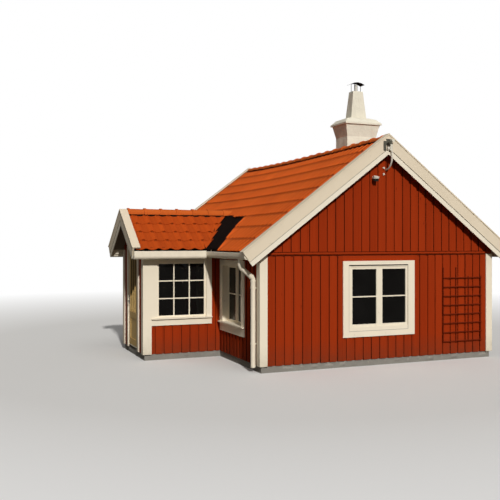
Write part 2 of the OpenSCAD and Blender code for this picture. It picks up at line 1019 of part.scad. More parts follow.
// A gutter along +Y with closed ends, its rim at z = 0 and its back at x = 0
module gutter(length, side) {
    translate([gutter_r, 0, 0])
        rotate([-90, 0, 0])
            difference() {
                channel(gutter_r, side, 0, length);
                translate([0, 0, gutter_t])
                    channel(gutter_r - gutter_t, side, cut, length - 2 * gutter_t);
            }
}

gutter_z = eave_z - gutter_t;
porch_gutter_z = porch_eave_z - gutter_t;

module gutters() {
    color("ivory")
        at_house() {
            translate([eave_face, -roof_reach, gutter_z])
                gutter(2 * roof_reach, gutter_side);
            translate([-eave_face, -roof_reach, gutter_z])
                mirror([1, 0, 0])
                    gutter(main_stop_near + roof_reach, gutter_side);
            translate([-eave_face, main_stop_far, gutter_z])
                mirror([1, 0, 0])
                    gutter(roof_reach - main_stop_far, gutter_side);
            translate([0, porch_y, 0])
                for (side = [0, 1])
                    mirror([0, side, 0])
                        translate([porch_roof_x, porch_eave_face, porch_gutter_z])
                            mirror([1, -1, 0])
                                gutter(-eave_face - 2 * gutter_r - 2 * gutter_t - porch_roof_x,
                                    porch_gutter_side);
        }
}

// A downpipe on the -X side: outlet, swan neck, straight fall and two clips to the wall
pipe_r = pipe_d / 2;
pipe_wall_gap = 25;
outlet_l = 90;
pipe_x = half_w + pipe_wall_gap + pipe_r;
outlet_x = eave_face + gutter_r;
neck_shift = outlet_x - pipe_x;
neck_run = (neck_shift - 2 * pipe_bend * (1 - cos(neck_angle))) / sin(neck_angle);
outlet_top = gutter_z - gutter_side;
outlet_low = outlet_top - gutter_r - outlet_l;
bend_drop = pipe_bend * sin(neck_angle);
neck_foot = outlet_low - 2 * bend_drop - neck_run * cos(neck_angle);
pipe_low = 90;
clip_low = 500;
clip_high = 1500;
clip_h = 30;
socket_h = 30;
joint_gap = 2;

// A quarter bend piece: starts at the origin going down and turns towards +X
module pipe_elbow() {
    translate([pipe_bend, 0, 0])
        rotate([90, 0, 0])
            rotate([0, 0, 180])
                rotate_extrude(angle = neck_angle)
                    translate([pipe_bend, 0])
                        circle(r = pipe_r);
}

// A socket over a joint, along +Z and centred on it
module pipe_socket() {
    translate([0, 0, -socket_h / 2])
        cylinder(r = pipe_r + gutter_t, h = socket_h);
}

module downpipe() {
    difference() {
        translate([-outlet_x, 0, outlet_low + joint_gap])
            cylinder(r = pipe_r, h = outlet_top - outlet_low - joint_gap);
        translate([-outlet_x, -2 * pipe_r, gutter_z])
            rotate([-90, 0, 0])
                channel(gutter_r, gutter_side, 0, 4 * pipe_r);
    }
    translate([-outlet_x, 0, outlet_low]) {
        pipe_elbow();
        pipe_socket();
    }
    translate([-outlet_x + pipe_bend * (1 - cos(neck_angle)), 0, outlet_low - bend_drop])
        rotate([0, 180 - neck_angle, 0]) {
            pipe_socket();
            translate([0, 0, joint_gap])
                cylinder(r = pipe_r, h = neck_run - 2 * joint_gap);
            translate([0, 0, neck_run])
                pipe_socket();
        }
    translate([-pipe_x, 0, neck_foot]) {
        mirror([1, 0, 0])
            mirror([0, 0, 1])
                pipe_elbow();
        pipe_socket();
    }
    translate([-pipe_x, 0, pipe_low])
        cylinder(r = pipe_r, h = neck_foot - joint_gap - pipe_low);
    for (z = [clip_low, clip_high]) {
        translate([-pipe_x, 0, z])
            cylinder(r = pipe_r + gutter_t, h = clip_h);
        block([-half_w - pipe_wall_gap - gutter_t, -clip_h / 2, z + gutter_t],
            [-half_w, clip_h / 2, z + clip_h - gutter_t]);
    }
}

pipe_corner = 175;

module downpipes() {
    color("ivory")
        at_house() {
            translate([0, -half_l + pipe_corner, 0])
                downpipe();
            mirror([1, 0, 0])
                translate([0, half_l - pipe_corner, 0])
                    downpipe();
        }
}

// Windows of the body

casings = [casing_w, casing_head, casing_foot];
members = [frame_w, frame_foot];
front_sash_y = front_inset - trim_t;
side_mullion_y = side_inset - sash_inset;

module front_back_window_frames() {
    color("antiquewhite")
        at_house() {
            at_front_window()
                window_frame(front_win_w, win_h, mullion_w, casings, members, frame_d, front_sash_y, 0);
            at_back_window()
                window_frame(front_win_w, win_h, mullion_w, casings, members, frame_d, front_sash_y, 0);
        }
}

module side_window_frames() {
    color("antiquewhite")
        at_house() {
            at_left_windows()
                window_frame(side_win_w, win_h, mullion_w, casings, members, wall_t, side_mullion_y,
                    sill_out);
            at_right_windows()
                window_frame(side_win_w, win_h, mullion_w, casings, members, wall_t, side_mullion_y,
                    sill_out);
        }
}

front_sash_w = (front_win_w - 2 * frame_w - mullion_w) / 2;
side_sash_w = (side_win_w - 2 * frame_w - mullion_w) / 2;
sash_h = win_h - frame_w - frame_foot;

module window_sashes() {
    color("white")
        at_house() {
            at_front_window()
                paired(front_win_w)
                    sash(front_sash_w, sash_h, 1, 2, sash_w, front_sash_y);
            at_back_window()
                paired(front_win_w)
                    sash(front_sash_w, sash_h, 1, 2, sash_w, front_sash_y);
            at_left_windows()
                paired(side_win_w)
                    sash(side_sash_w, sash_h, 1, 2, sash_w, side_inset);
            at_right_windows()
                paired(side_win_w)
                    sash(side_sash_w, sash_h, 1, 2, sash_w, side_inset);
        }
}

module window_panes() {
    color("lightblue")
        at_house() {
            at_front_window()
                paired(front_win_w)
                    panes(front_sash_w, sash_h, 1, 2, sash_w, front_sash_y);
            at_back_window()
                paired(front_win_w)
                    panes(front_sash_w, sash_h, 1, 2, sash_w, front_sash_y);
            at_left_windows()
                paired(side_win_w)
                    panes(side_sash_w, sash_h, 1, 2, sash_w, side_inset);
            at_right_windows()
                paired(side_win_w)
                    panes(side_sash_w, sash_h, 1, 2, sash_w, side_inset);
        }
}

// Windows of the porch

porch_leaf_w = porch_win_w - 2 * porch_frame_w;
porch_leaf_h = porch_win_h - 2 * porch_frame_w;

module porch_window_frames() {
    color("antiquewhite")
        at_house()
            at_porch_windows()
                window_frame(porch_win_w, porch_win_h, 0, [porch_casing_w, porch_casing_w, porch_casing_foot],
                    [porch_frame_w, porch_frame_w], frame_d, 0, sill_out);
}

module porch_window_sashes() {
    color("white")
        at_house()
            at_porch_windows()
                translate([0, 0, porch_frame_w])
                    sash(porch_leaf_w, porch_leaf_h, 3, 3, porch_sash_w, sash_inset);
}

module porch_window_panes() {
    color("lightblue")
        at_house()
            at_porch_windows()
                translate([0, 0, porch_frame_w])
                    panes(porch_leaf_w, porch_leaf_h, 3, 3, porch_sash_w, sash_inset);
}

// Entrance door: its parts stand with x across, z up from the floor and +y into the porch

module at_door() {
    translate([porch_x, porch_y, floor_z])
        rotate([0, 0, -90])
            children();
}

leaf_z = threshold_h + leaf_gap;
stop_w = 20;

module door_frame() {
    color("antiquewhite")
        at_house()
            at_door()
                union() {
                    for (side = [-1, 1])
                        block([side * (door_w / 2 - jamb_w / 2) - jamb_w / 2, 0, 0],
                            [side * (door_w / 2 - jamb_w / 2) + jamb_w / 2, jamb_d, door_h]);
                    block([-door_w / 2, 0, door_h - jamb_w], [door_w / 2, jamb_d, door_h]);
                    block([-door_w / 2, 0, 0], [door_w / 2, jamb_d, threshold_h]);
                    difference() {
                        block([-door_w / 2 - door_casing_w + jamb_w / 2, -trim_t, -floor_t],
                            [door_w / 2 + door_casing_w - jamb_w / 2, 0, door_h + door_casing_w - jamb_w]);
                        block([-door_w / 2 + jamb_w / 2, -trim_t - cut, -floor_t - cut],
                            [door_w / 2 - jamb_w / 2, cut, door_h - jamb_w / 2]);
                    }
                    // The stop that the leaf closes against
                    difference() {
                        block([-door_w / 2 + jamb_w, leaf_t + leaf_gap, threshold_h],
                            [door_w / 2 - jamb_w, jamb_d, door_h - jamb_w]);
                        block([-door_w / 2 + jamb_w + stop_w, 0, threshold_h - cut],
                            [door_w / 2 - jamb_w - stop_w, jamb_d + cut, door_h - jamb_w - stop_w]);
                    }
                }
}

// The glazed field of the leaf, with two upright bars
glazed_z = mid_rail_z + mid_rail_h;
glazed_h = leaf_h - glazed_z - stile_w;
glazed_w = leaf_w - 2 * stile_w;
door_columns = 3;
door_pane_w = (glazed_w - (door_columns - 1) * bar_w) / door_columns;
panel_t = 18;

module at_leaf() {
    at_door()
        translate([0, 0, leaf_z])
            children();
}

// The hinge axis stands in front of the leaf's face, at its near edge
knuckle_wall = 3.7;
knuckle_clear = 1;
knuckle_r = pin_r + pin_gap + knuckle_wall;
hinge_out = knuckle_r + knuckle_clear;
hinge_plate_t = 4;
hinge_plate_w = 28;
hinge_inset = 200;
hinge_zs = [hinge_inset, leaf_h / 2, leaf_h - hinge_inset - hinge_h];

module door_leaf() {
    color("goldenrod")
        at_house()
            at_leaf()
                union() {
                    difference() {
                        block([-leaf_w / 2, 0, 0], [leaf_w / 2, leaf_t, leaf_h]);
                        for (i = [0 : door_columns - 1])
                            translate([-glazed_w / 2 + i * (door_pane_w + bar_w), -cut, glazed_z])
                                cube([door_pane_w, leaf_t + 2 * cut, glazed_h]);
                        translate([-glazed_w / 2, -cut, mid_rail_h])
                            cube([glazed_w, (leaf_t - panel_t) / 2 + cut, mid_rail_z - mid_rail_h]);
                        translate([-glazed_w / 2, (leaf_t + panel_t) / 2, mid_rail_h])
                            cube([glazed_w, leaf_t, mid_rail_z - mid_rail_h]);
                    }
                    for (z = hinge_zs)
                        hinge_half(z + hinge_h / 2 + pin_gap);
                }
}

// The leaf's half of a hinge from height z: a knuckle with its bore and a plate on the leaf's face
module hinge_half(z) {
    height = hinge_h / 2 - pin_gap;
    difference() {
        union() {
            translate([leaf_w / 2 + leaf_gap / 2, -hinge_out, z])
                cylinder(r = knuckle_r, h = height);
            block([leaf_w / 2 - hinge_plate_w, -hinge_plate_t, z],
                [leaf_w / 2 - knuckle_clear, 0, z + height]);
        }
        translate([leaf_w / 2 + leaf_gap / 2, -hinge_out, z - cut])
            cylinder(r = pin_r + pin_gap, h = height + 2 * cut);
    }
}

module door_panes() {
    color("lightblue")
        at_house()
            at_leaf()
                for (i = [0 : door_columns - 1])
                    translate([-glazed_w / 2 + i * (door_pane_w + bar_w), (leaf_t - glass_t) / 2, glazed_z])
                        cube([door_pane_w, glass_t, glazed_h]);
}

// A long plate with a lever handle low down and a lock cylinder above it, on both faces of the leaf
lock_plate_w = 40;
lock_plate_t = 8;
lock_plate_h = 200;
lever_l = 114;
lever_h = 18;
lever_t = 12;
lever_out = 42;
lock_up = 100;
lock_r = 14;

module door_handle() {
    color("black")
        at_house()
            at_leaf()
                translate([-leaf_w / 2 + stile_w / 2, 0, handle_z])
                    for (side = [0, 1])
                        translate([0, side * leaf_t, 0])
                            mirror([0, side, 0]) {
                                block([-lock_plate_w / 2, -lock_plate_t, -lock_plate_h / 3],
                                    [lock_plate_w / 2, 0, lock_plate_h * 2 / 3]);
                                rotate([90, 0, 0])
                                    cylinder(r = lever_h / 2, h = lever_out + lever_t / 2);
                                block([-lever_h / 2, -lever_out - lever_t, -lever_h / 2],
                                    [lever_l - lever_h / 2, -lever_out, lever_h / 2]);
                                translate([0, 0, lock_up])
                                    rotate([90, 0, 0])
                                        cylinder(r = lock_r, h = lock_r);
                            }
}

module door_hinges() {
    color("gray")
        at_house()
            at_leaf()
                for (z = hinge_zs) {
                    translate([leaf_w / 2 + leaf_gap / 2, -hinge_out, z]) {
                        cylinder(r = knuckle_r, h = hinge_h / 2);
                        translate([0, 0, hinge_h / 4])
                            cylinder(r = pin_r, h = 3 / 4 * hinge_h - 2 * pin_gap);
                    }
                    block([leaf_w / 2 + leaf_gap + knuckle_clear, -hinge_plate_t, z],
                        [leaf_w / 2 + hinge_plate_w, 0, z + hinge_h / 2]);
                }
}

// Chimney

// A solid whose plan shrinks or grows evenly from w0 by d0 to w1 by d1
module tapered(w0, d0, w1, d1, height) {
    intersection() {
        along_y(-max(d0, d1), 2 * max(d0, d1))
            polygon([[-w0 / 2, 0], [w0 / 2, 0], [w1 / 2, height], [-w1 / 2, height]]);
        along_x(-max(w0, w1), 2 * max(w0, w1))
            polygon([[-d0 / 2, 0], [d0 / 2, 0], [d1 / 2, height], [-d1 / 2, height]]);
    }
}

module at_chimney(z) {
    translate([shaft_x, shaft_y, z])
        children();
}

crown_w = shaft_w + 2 * flare_out;
crown_d = shaft_d + 2 * flare_out;
shoulder_w = crown_w - 2 * crown_shoulder;
shoulder_d = crown_d - 2 * crown_shoulder;
// How far the crown slab stands out past the flare, and its sloped top past the stack
crown_lip = 30;
flue_sole = 10;
flue_t = 4;

module chimney_shaft() {
    color("linen")
        at_house() {
            at_chimney(0)
                block([-shaft_w / 2, -shaft_d / 2, 0], [shaft_w / 2, shaft_d / 2, flare_z]);
            at_chimney(flare_z)
                tapered(shaft_w, shaft_d, crown_w - 2 * crown_lip, crown_d - 2 * crown_lip, flare_h);
        }
}

module chimney_crown() {
    color("linen")
        at_house()
            at_chimney(crown_z) {
                translate([-crown_w / 2, -crown_d / 2, 0])
                    cube([crown_w, crown_d, crown_t]);
                translate([0, 0, crown_t])
                    tapered(crown_w, crown_d, shoulder_w, shoulder_d, crown_shoulder);
                translate([0, 0, crown_t + crown_shoulder])
                    tapered(shoulder_w, shoulder_d, stack_w + 2 * crown_lip, stack_d + 2 * crown_lip,
                        crown_slope);
            }
}

module chimney_stack() {
    color("linen")
        at_house()
            at_chimney(stack_z)
                difference() {
                    tapered(stack_w, stack_d, stack_w - stack_taper, stack_d - stack_taper / 2, stack_h);
                    translate([0, 0, -cut])
                        cylinder(r = flue_d / 2, h = stack_h + 2 * cut);
                }
}

module flue_pipe() {
    color("black")
        at_house()
            at_chimney(stack_z)
                difference() {
                    cylinder(r = flue_d / 2, h = stack_h + flue_up);
                    translate([0, 0, flue_sole])
                        cylinder(r = flue_d / 2 - flue_t, h = stack_h + flue_up);
                }
}

// A bent sheet on four legs that stand on the stack's top
hood_air = 40;
leg_x = 75;
leg_w = 8;
leg_inset = 20;

module rain_hood() {
    hood_d = stack_d - stack_taper / 2;
    leg_h = flue_up + hood_air;
    half = hood_l / 2;
    color("black")
        at_house()
            at_chimney(stack_z + stack_h) {
                along_y(-hood_d / 2, hood_d)
                    polygon([[-half, leg_h - hood_rise], [-half / 2, leg_h - hood_rise / 4], [0, leg_h],
                        [half / 2, leg_h - hood_rise / 4], [half, leg_h - hood_rise],
                        [half, leg_h - hood_rise + hood_t], [half / 2, leg_h - hood_rise / 4 + hood_t],
                        [0, leg_h + hood_t], [-half / 2, leg_h - hood_rise / 4 + hood_t],
                        [-half, leg_h - hood_rise + hood_t]]);
                for (sx = [-1, 1])
                    for (sy = [-1, 1])
                        translate([sx * leg_x - leg_w / 2, sy * (hood_d / 2 - leg_inset) - leg_w / 2, 0])
                            cube([leg_w, leg_w, leg_h - hood_rise / 4 + hood_t]);
            }
}

// Fittings

module trellis() {
    x1 = half_w - trellis_edge;
    x0 = x1 - trellis_w;
    posts = 4;
    rails = 8;
    tall_posts = 2;
    gap = (trellis_w - lath_w) / (posts - 1);
    height = (rails - 1) * trellis_step + lath_w + 2 * lath_w;
    color("firebrick")
        at_house()
            translate([x0, -half_l, trellis_z]) {
                for (i = [0 : posts - 1])
                    translate([i * gap, -lath_w, 0])
                        cube([lath_w, lath_w, height + (i < tall_posts ? trellis_step : 0)]);
                for (j = [0 : rails - 1])
                    translate([0, -2 * lath_w, lath_w + j * trellis_step])
                        cube([trellis_w, lath_w, lath_w]);
            }
}

// A spot lamp on a short arm, turned down to light the wall
module gable_lamp() {
    arm_l = 90;
    lamp_tilt = 20;
    color("white")
        at_house()
            translate([-lamp_x, -half_l - gable_clad_t, lamp_z]) {
                rotate([90, 0, 0])
                    cylinder(r = lamp_d / 3, h = lamp_rose_t);
                rotate([90, 0, 0])
                    cylinder(r = lamp_d / 12, h = arm_l);
                translate([0, -arm_l, 0])
                    rotate([lamp_tilt, 0, 0])
                        translate([0, 0, -lamp_d / 2])
                            cylinder(r = lamp_d / 2, h = 3 / 4 * lamp_d);
            }
}

// A plate on the bargeboards' joint with two insulators on short stems
bracket_w = 120;
bracket_t = 8;
stem_r = 7;
stem_x = 30;
stem_z = 20;

module service_bracket() {
    color("gray")
        at_house()
            translate([0, -roof_reach - barge_t, wall_h + half_w * roof_tan]) {
                block([-bracket_w / 2, -bracket_t, -bracket_w / 2], [bracket_w / 2, 0, bracket_w / 2]);
                for (side = [-1, 1])
                    translate([side * stem_x, -bracket_out, side * stem_z]) {
                        rotate([-90, 0, 0])
                            cylinder(r = stem_r, h = bracket_out);
                        rotate([90, 0, 0])
                            cylinder(r = insulator_d / 2, h = insulator_d);
                    }
            }
}

plinth();
floor();
porch_floor();
front_wall();
back_wall();
right_wall();
left_wall_front();
left_wall_rear();
inner_door_lintel();
front_gable_boarding();
back_gable_boarding();
corner_boards();
porch_near_wall();
porch_far_wall();
porch_front_piers();
porch_gable();
porch_corner_boards();
roof_deck_left();
roof_deck_right();
roof_tiles_left();
roof_tiles_right();
ridge_tiles();
porch_deck();
porch_tiles();
porch_ridge_tiles();
valley_flashing();
front_bargeboards();
back_bargeboards();
porch_bargeboards();
verge_caps();
fascia_boards();
gutters();
downpipes();
front_back_window_frames();
side_window_frames();
window_sashes();
window_panes();
porch_window_frames();
porch_window_sashes();
porch_window_panes();
door_frame();
door_leaf();
door_panes();
door_handle();
door_hinges();
chimney_shaft();
chimney_crown();
chimney_stack();
flue_pipe();
rain_hood();
trellis();
gable_lamp();
service_bracket();
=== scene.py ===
"""A small red timber cottage with white trim, a pantile roof, a rendered chimney and a gabled porch.

The file follows the building as it is put together: studio, plinth, floors, walls, roof, verges, eaves,
windows, door, chimney and fittings. Lengths are metres, +Z is up, the front gable faces -Y and the porch
stands on the -X side.
"""
import math

import bmesh
import bpy
import numpy as np
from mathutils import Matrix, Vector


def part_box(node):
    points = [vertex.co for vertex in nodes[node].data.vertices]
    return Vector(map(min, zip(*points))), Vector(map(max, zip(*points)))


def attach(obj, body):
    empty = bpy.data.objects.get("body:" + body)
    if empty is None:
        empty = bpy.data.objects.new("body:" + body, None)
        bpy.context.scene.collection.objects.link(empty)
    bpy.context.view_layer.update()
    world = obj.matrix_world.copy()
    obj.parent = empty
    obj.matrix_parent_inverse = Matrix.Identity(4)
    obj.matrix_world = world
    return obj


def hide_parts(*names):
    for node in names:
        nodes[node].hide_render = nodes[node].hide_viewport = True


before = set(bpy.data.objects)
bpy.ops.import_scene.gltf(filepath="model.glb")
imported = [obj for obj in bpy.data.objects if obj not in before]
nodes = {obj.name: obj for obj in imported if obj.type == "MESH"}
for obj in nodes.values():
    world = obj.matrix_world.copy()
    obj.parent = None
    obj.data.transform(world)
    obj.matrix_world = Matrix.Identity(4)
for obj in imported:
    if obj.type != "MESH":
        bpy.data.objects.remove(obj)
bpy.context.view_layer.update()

# Studio
# A level camera 2.4 m up before the left front corner, a low key sun that also grazes the porch side, a weak
# broad lamp from above, a dim surround, and a pale floor that goes over into white.

bpy.context.scene.view_settings.view_transform = "Standard"
camera = bpy.data.objects.new("camera", bpy.data.cameras.new("camera"))
bpy.context.scene.collection.objects.link(camera)
bpy.context.scene.camera = camera
camera.location = (-6.8633, -15.1645, 2.360)
camera.rotation_euler = (math.radians(90.0), 0.0, math.radians(-22.2))
camera.data.lens = 52.27
camera.data.shift_y = -0.018
camera.data.clip_end = 300.0


def hang_sun(name, bearing, height, power, spread, colour):
    """A sun lamp: bearing from -Y towards +X and height above the horizon in degrees, its disc spread
    wide."""
    lamp = bpy.data.objects.new(name, bpy.data.lights.new(name, "SUN"))
    bpy.context.scene.collection.objects.link(lamp)
    lamp.data.energy, lamp.data.angle, lamp.data.color = power, math.radians(spread), colour
    lamp.rotation_euler = (math.radians(90.0 - height), 0.0, math.radians(bearing))
    lamp.location = (0.0, 0.0, 12.0)


hang_sun("key sun", -9.0, 29.0, 2.72, 2.0, (1.0, 0.985, 0.96))
hang_sun("soft top sun", 0.0, 62.0, 0.45, 40.0, (1.0, 1.0, 1.0))


class Value:
    """A number on a shader socket; sums, differences and products of values add their Math nodes."""

    def __init__(self, tree, socket):
        self.tree, self.socket = tree, socket

    def _math(self, operation, first, second, clamp=False):
        settings = {"operation": operation, "use_clamp": clamp}
        return self.tree.node("ShaderNodeMath", settings, {0: first, 1: second})

    def __add__(self, other):
        return self._math("ADD", self, other)

    def __sub__(self, other):
        return self._math("SUBTRACT", self, other)

    def __rsub__(self, other):
        return self._math("SUBTRACT", other, self)

    def __mul__(self, other):
        return self._math("MULTIPLY", self, other)

    __radd__ = __add__
    __rmul__ = __mul__

    def above(self, edge, blur):
        """0 below edge - blur, 1 above edge + blur, and straight between them."""
        return self._math("ADD", self * (0.5 / blur), 0.5 - edge * 0.5 / blur, clamp=True)


class Recipe:
    """A tree of shader nodes."""

    def __init__(self, tree):
        self.tree = tree
        self.tree.nodes.clear()

    def join(self, socket, value):
        """Sets a socket to a number, a colour or vector, or links a value to it."""
        if isinstance(value, Value):
            self.tree.links.new(value.socket, socket)
        elif isinstance(value, tuple) and len(value) == 3 and len(socket.default_value) == 4:
            socket.default_value = (*value, 1.0)
        else:
            socket.default_value = value

    def node(self, kind, settings, sockets, out=0):
        """Adds a node: its settings first, then the values or links of its sockets."""
        made = self.tree.nodes.new(kind)
        for key, value in settings.items():
            setattr(made, key, value)
        for key, value in sockets.items():
            self.join(made.inputs[key], value)
        return Value(self, made.outputs[out]) if len(made.outputs) else made


class Finish(Recipe):
    """One procedural material, read in Object coordinates."""

    def __init__(self, name, **shader):
        self.material = bpy.data.materials.new(name)
        self.material.use_nodes = True
        super().__init__(self.material.node_tree)
        settings = {socket.replace("_", " "): value for socket, value in shader.items()}
        self.coat = self.node("ShaderNodeBsdfPrincipled", {}, settings)
        self.output = self.node("ShaderNodeOutputMaterial", {}, {"Surface": self.coat})
        self.shader = self.coat.socket.node
        self.place = self.node("ShaderNodeTexCoord", {}, {}, "Object")

    def stretched(self, stretch):
        """Object coordinates scaled along each axis, for grain that runs one way."""
        return self.node("ShaderNodeVectorMath", {"operation": "MULTIPLY"}, {0: self.place, 1: stretch})

    def noise(self, scale, stretch=(1.0, 1.0, 1.0), detail=3.0, rough=0.5, wobble=0.0):
        """Cloudy noise between 0 and 1, averaging about 0.5."""
        sockets = {"Vector": self.stretched(stretch), "Scale": scale, "Detail": detail, "Roughness": rough,
                   "Distortion": wobble}
        return self.node("ShaderNodeTexNoise", {}, sockets)

    def cells(self, scale, stretch):
        """Distance to the nearest of many scattered points."""
        return self.node("ShaderNodeTexVoronoi", {}, {"Vector": self.stretched(stretch), "Scale": scale})

    def axis(self, letter):
        """One Object coordinate."""
        return self.node("ShaderNodeSeparateXYZ", {}, {0: self.place}, "XYZ".index(letter))

    def away_from(self, letter, middle):
        """Distance along one Object coordinate from a middle."""
        return self.node("ShaderNodeMath", {"operation": "ABSOLUTE"}, {0: self.axis(letter) - middle})

    def attribute(self, name):
        """A number stored on the mesh."""
        return self.node("ShaderNodeAttribute", {"attribute_name": name}, {}, "Fac")

    def blend(self, low, high, share):
        """Mixes two colours."""
        return self.node("ShaderNodeMix", {"data_type": "RGBA"}, {0: share, 6: low, 7: high}, 2)

    def shade(self, colour, strength):
        """A colour made darker or lighter by a factor."""
        return self.node("ShaderNodeVectorMath", {"operation": "SCALE"}, {0: colour, "Scale": strength})

    def finish(self, colour, rough=None, height=None, depth=0.001, strength=1.0):
        """Joins the colour, the roughness and a bump of a depth in metres to the shader."""
        self.join(self.shader.inputs["Base Color"], colour)
        if rough is not None:
            self.join(self.shader.inputs["Roughness"], rough)
        if height is not None:
            sockets = {"Strength": strength, "Distance": depth, "Height": height}
            self.join(self.shader.inputs["Normal"], self.node("ShaderNodeBump", {}, sockets))
        return self.material


surround = bpy.data.worlds.new("surround")
bpy.context.scene.world = surround
surround.use_nodes = True
sky = Recipe(surround.node_tree)
seen = (sky.node("ShaderNodeLightPath", {}, {}, "Is Camera Ray")
        + sky.node("ShaderNodeLightPath", {}, {}, "Is Transmission Ray")
        + sky.node("ShaderNodeLightPath", {}, {}, "Is Glossy Ray") * 0.35)
dome = sky.node("ShaderNodeBackground", {}, {"Color": (1.0, 1.0, 1.0), "Strength": 0.14 + seen * 0.86})
sky.node("ShaderNodeOutputWorld", {}, {"Surface": dome})

floor_half, white_from, white_blur = 60, 13.0, 6.0
floor_corners = np.array([(-1, -1, 0), (1, -1, 0), (1, 1, 0), (-1, 1, 0)]) * floor_half
floor_mesh = bpy.data.meshes.new("studio_floor")
floor_mesh.from_pydata(floor_corners.tolist(), [], [(0, 1, 2, 3)])
studio_floor = bpy.data.objects.new("studio_floor", floor_mesh)
bpy.context.scene.collection.objects.link(studio_floor)
pale = Finish("pale_floor", Roughness=1.0, Specular_IOR_Level=0.0)
away = pale.node("ShaderNodeVectorMath", {"operation": "LENGTH"}, {0: pale.place}, "Value")
ray = pale.node("ShaderNodeLightPath", {}, {}, "Is Camera Ray")
pale.finish(pale.blend((0.16, 0.15, 0.13), (0.80, 0.79, 0.77), ray))
white = pale.node("ShaderNodeEmission", {}, {"Color": (1.0, 1.0, 1.0), "Strength": 1.0})
far_and_seen = away.above(white_from, white_blur) * ray
faded = pale.node("ShaderNodeMixShader", {}, {0: far_and_seen, 1: pale.coat, 2: white})
pale.join(pale.output.inputs["Surface"], faded)
floor_mesh.materials.append(pale.material)

# Plinth
# A low footing of rounded field stones laid dry in lime mortar, its top just under the boarding.
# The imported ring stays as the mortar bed, and the stones are a piece of their own that stands in it.

rng = np.random.default_rng(7)
to_right, to_back, to_top = np.eye(3)


def bar_faces(pieces, rings, points, ends):
    """Quads of bars held as an array of pieces x rings x points: the sides run round from each ring to the
    next, and where the bars have flat ends a fan of quads closes the first and the last ring."""
    start = (np.arange(pieces) * rings * points)[:, None, None]
    ring = (np.arange(rings - 1) * points)[None, :, None]
    here = np.arange(points)[None, None, :]
    a, b = start + ring + here, start + ring + (here + 1) % points
    sides = np.stack([a, b, b + points, a + points], -1).reshape(-1, 4)
    if not ends:
        return sides
    k = np.arange(points // 2 - 1)
    fan = np.stack([0 * k, 2 * k + 1, 2 * k + 2, 2 * k + 3], -1)[None]
    last = start + (rings - 1) * points
    return np.vstack([sides, (start + fan[..., ::-1]).reshape(-1, 4), (last + fan).reshape(-1, 4)])


def make_piece(name, bars, material, slot, stands_for=(), smooth=30, weld=0.0, ends=True, **marks):
    """A mesh from an array of bars x rings x points x 3. Its faces are turned outwards, points closer than
    weld are joined, and edges under the angle smooth are rounded. Marks such as tone are numbers kept on the
    points, one for each bar or one for each point."""
    points = np.asarray(bars, np.float32).reshape(-1, 3)
    faces = bar_faces(*bars.shape[:3], ends).astype(np.int32)
    mesh = bpy.data.meshes.new(name)
    mesh.vertices.add(len(points))
    mesh.vertices.foreach_set("co", points.ravel())
    mesh.loops.add(faces.size)
    mesh.loops.foreach_set("vertex_index", faces.ravel())
    mesh.polygons.add(len(faces))
    mesh.polygons.foreach_set("loop_start", np.arange(0, faces.size, 4, dtype=np.int32))
    for mark, values in marks.items():
        values = np.asarray(values, np.float32)
        values = values[:, None, None] if values.ndim == 1 else values
        values = np.ascontiguousarray(np.broadcast_to(values, bars.shape[:3]))
        mesh.attributes.new(mark, "FLOAT", "POINT").data.foreach_set("value", values.ravel())
    mesh.update(calc_edges=True)
    work = bmesh.new()
    work.from_mesh(mesh)
    if weld:
        bmesh.ops.remove_doubles(work, verts=work.verts, dist=weld)
        bmesh.ops.dissolve_degenerate(work, edges=work.edges, dist=weld)
    bmesh.ops.recalc_face_normals(work, faces=work.faces)
    work.to_mesh(mesh)
    work.free()
    mesh.polygons.foreach_set("use_smooth", np.ones(len(mesh.polygons), bool))
    mesh.set_sharp_from_angle(angle=math.radians(smooth))
    mesh.materials.append(material)
    piece = bpy.data.objects.new(name, mesh)
    bpy.context.scene.collection.objects.link(piece)
    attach(piece, "cottage")
    if stands_for:
        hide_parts(*stands_for)


def repaint(material, *names):
    """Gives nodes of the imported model, whose shape stays, a better material."""
    for name in names:
        for slot in nodes[name].material_slots:
            slot.material = material


def laid_at(points, start, *axes):
    """Points given by how far they go along three unit axes from a start, brought to their place."""
    return np.asarray(start) + sum(points[..., i:i + 1] * np.asarray(axis) for i, axis in enumerate(axes))


stone_long, stone_joint, stone_half_deep, stone_set_back, stone_middle = 0.30, 0.012, 0.055, 0.043, 0.062
stone_round, stone_rings = 16, 7


def softened(wave):
    """A sine or cosine raised to a power under 1 with its sign kept: a circle comes near to a rounded
    square."""
    return np.sign(wave) * np.abs(wave) ** 0.55


def stone_row(start, along, out, length):
    """Stones in a row: rounded boxes whose corners are softened by raising sine and cosine to a power, pushed
    in and out by slow waves, their feet cut level with the ground. along and out are unit vectors. stones x
    rings x round x 3."""
    count = max(1, int(round(length / stone_long)))
    ends = np.cumsum(rng.uniform(0.7, 1.3, count + 1))
    ends = (ends - ends[0]) / (ends[-1] - ends[0]) * length
    middle, half = (ends[1:] + ends[:-1]) / 2, np.diff(ends) / 2 - stone_joint / 2
    turn, rise = np.meshgrid(np.linspace(0, 2 * np.pi, stone_round, endpoint=False),
                             np.linspace(-np.pi / 2, np.pi / 2, stone_rings))
    shape = np.stack([softened(np.cos(rise)) * softened(np.cos(turn)),
                      softened(np.cos(rise)) * softened(np.sin(turn)), softened(np.sin(rise))], -1)
    phase = rng.uniform(0, 6.28, (count, 1, 1, 3))
    push = 1 - 0.09 * np.abs(np.sin(2.3 * shape + phase)).sum(-1, keepdims=True)
    halves = np.stack([half, np.full(count, stone_half_deep), rng.uniform(0.058, 0.066, count)], -1)
    grown = shape * push * halves[:, None, None]
    across = grown[..., 0] + middle[:, None, None]
    height = np.maximum(grown[..., 2] + stone_middle, 0.0)
    return laid_at(np.stack([across, grown[..., 1] - stone_set_back, height], -1), start, along, out, to_top)


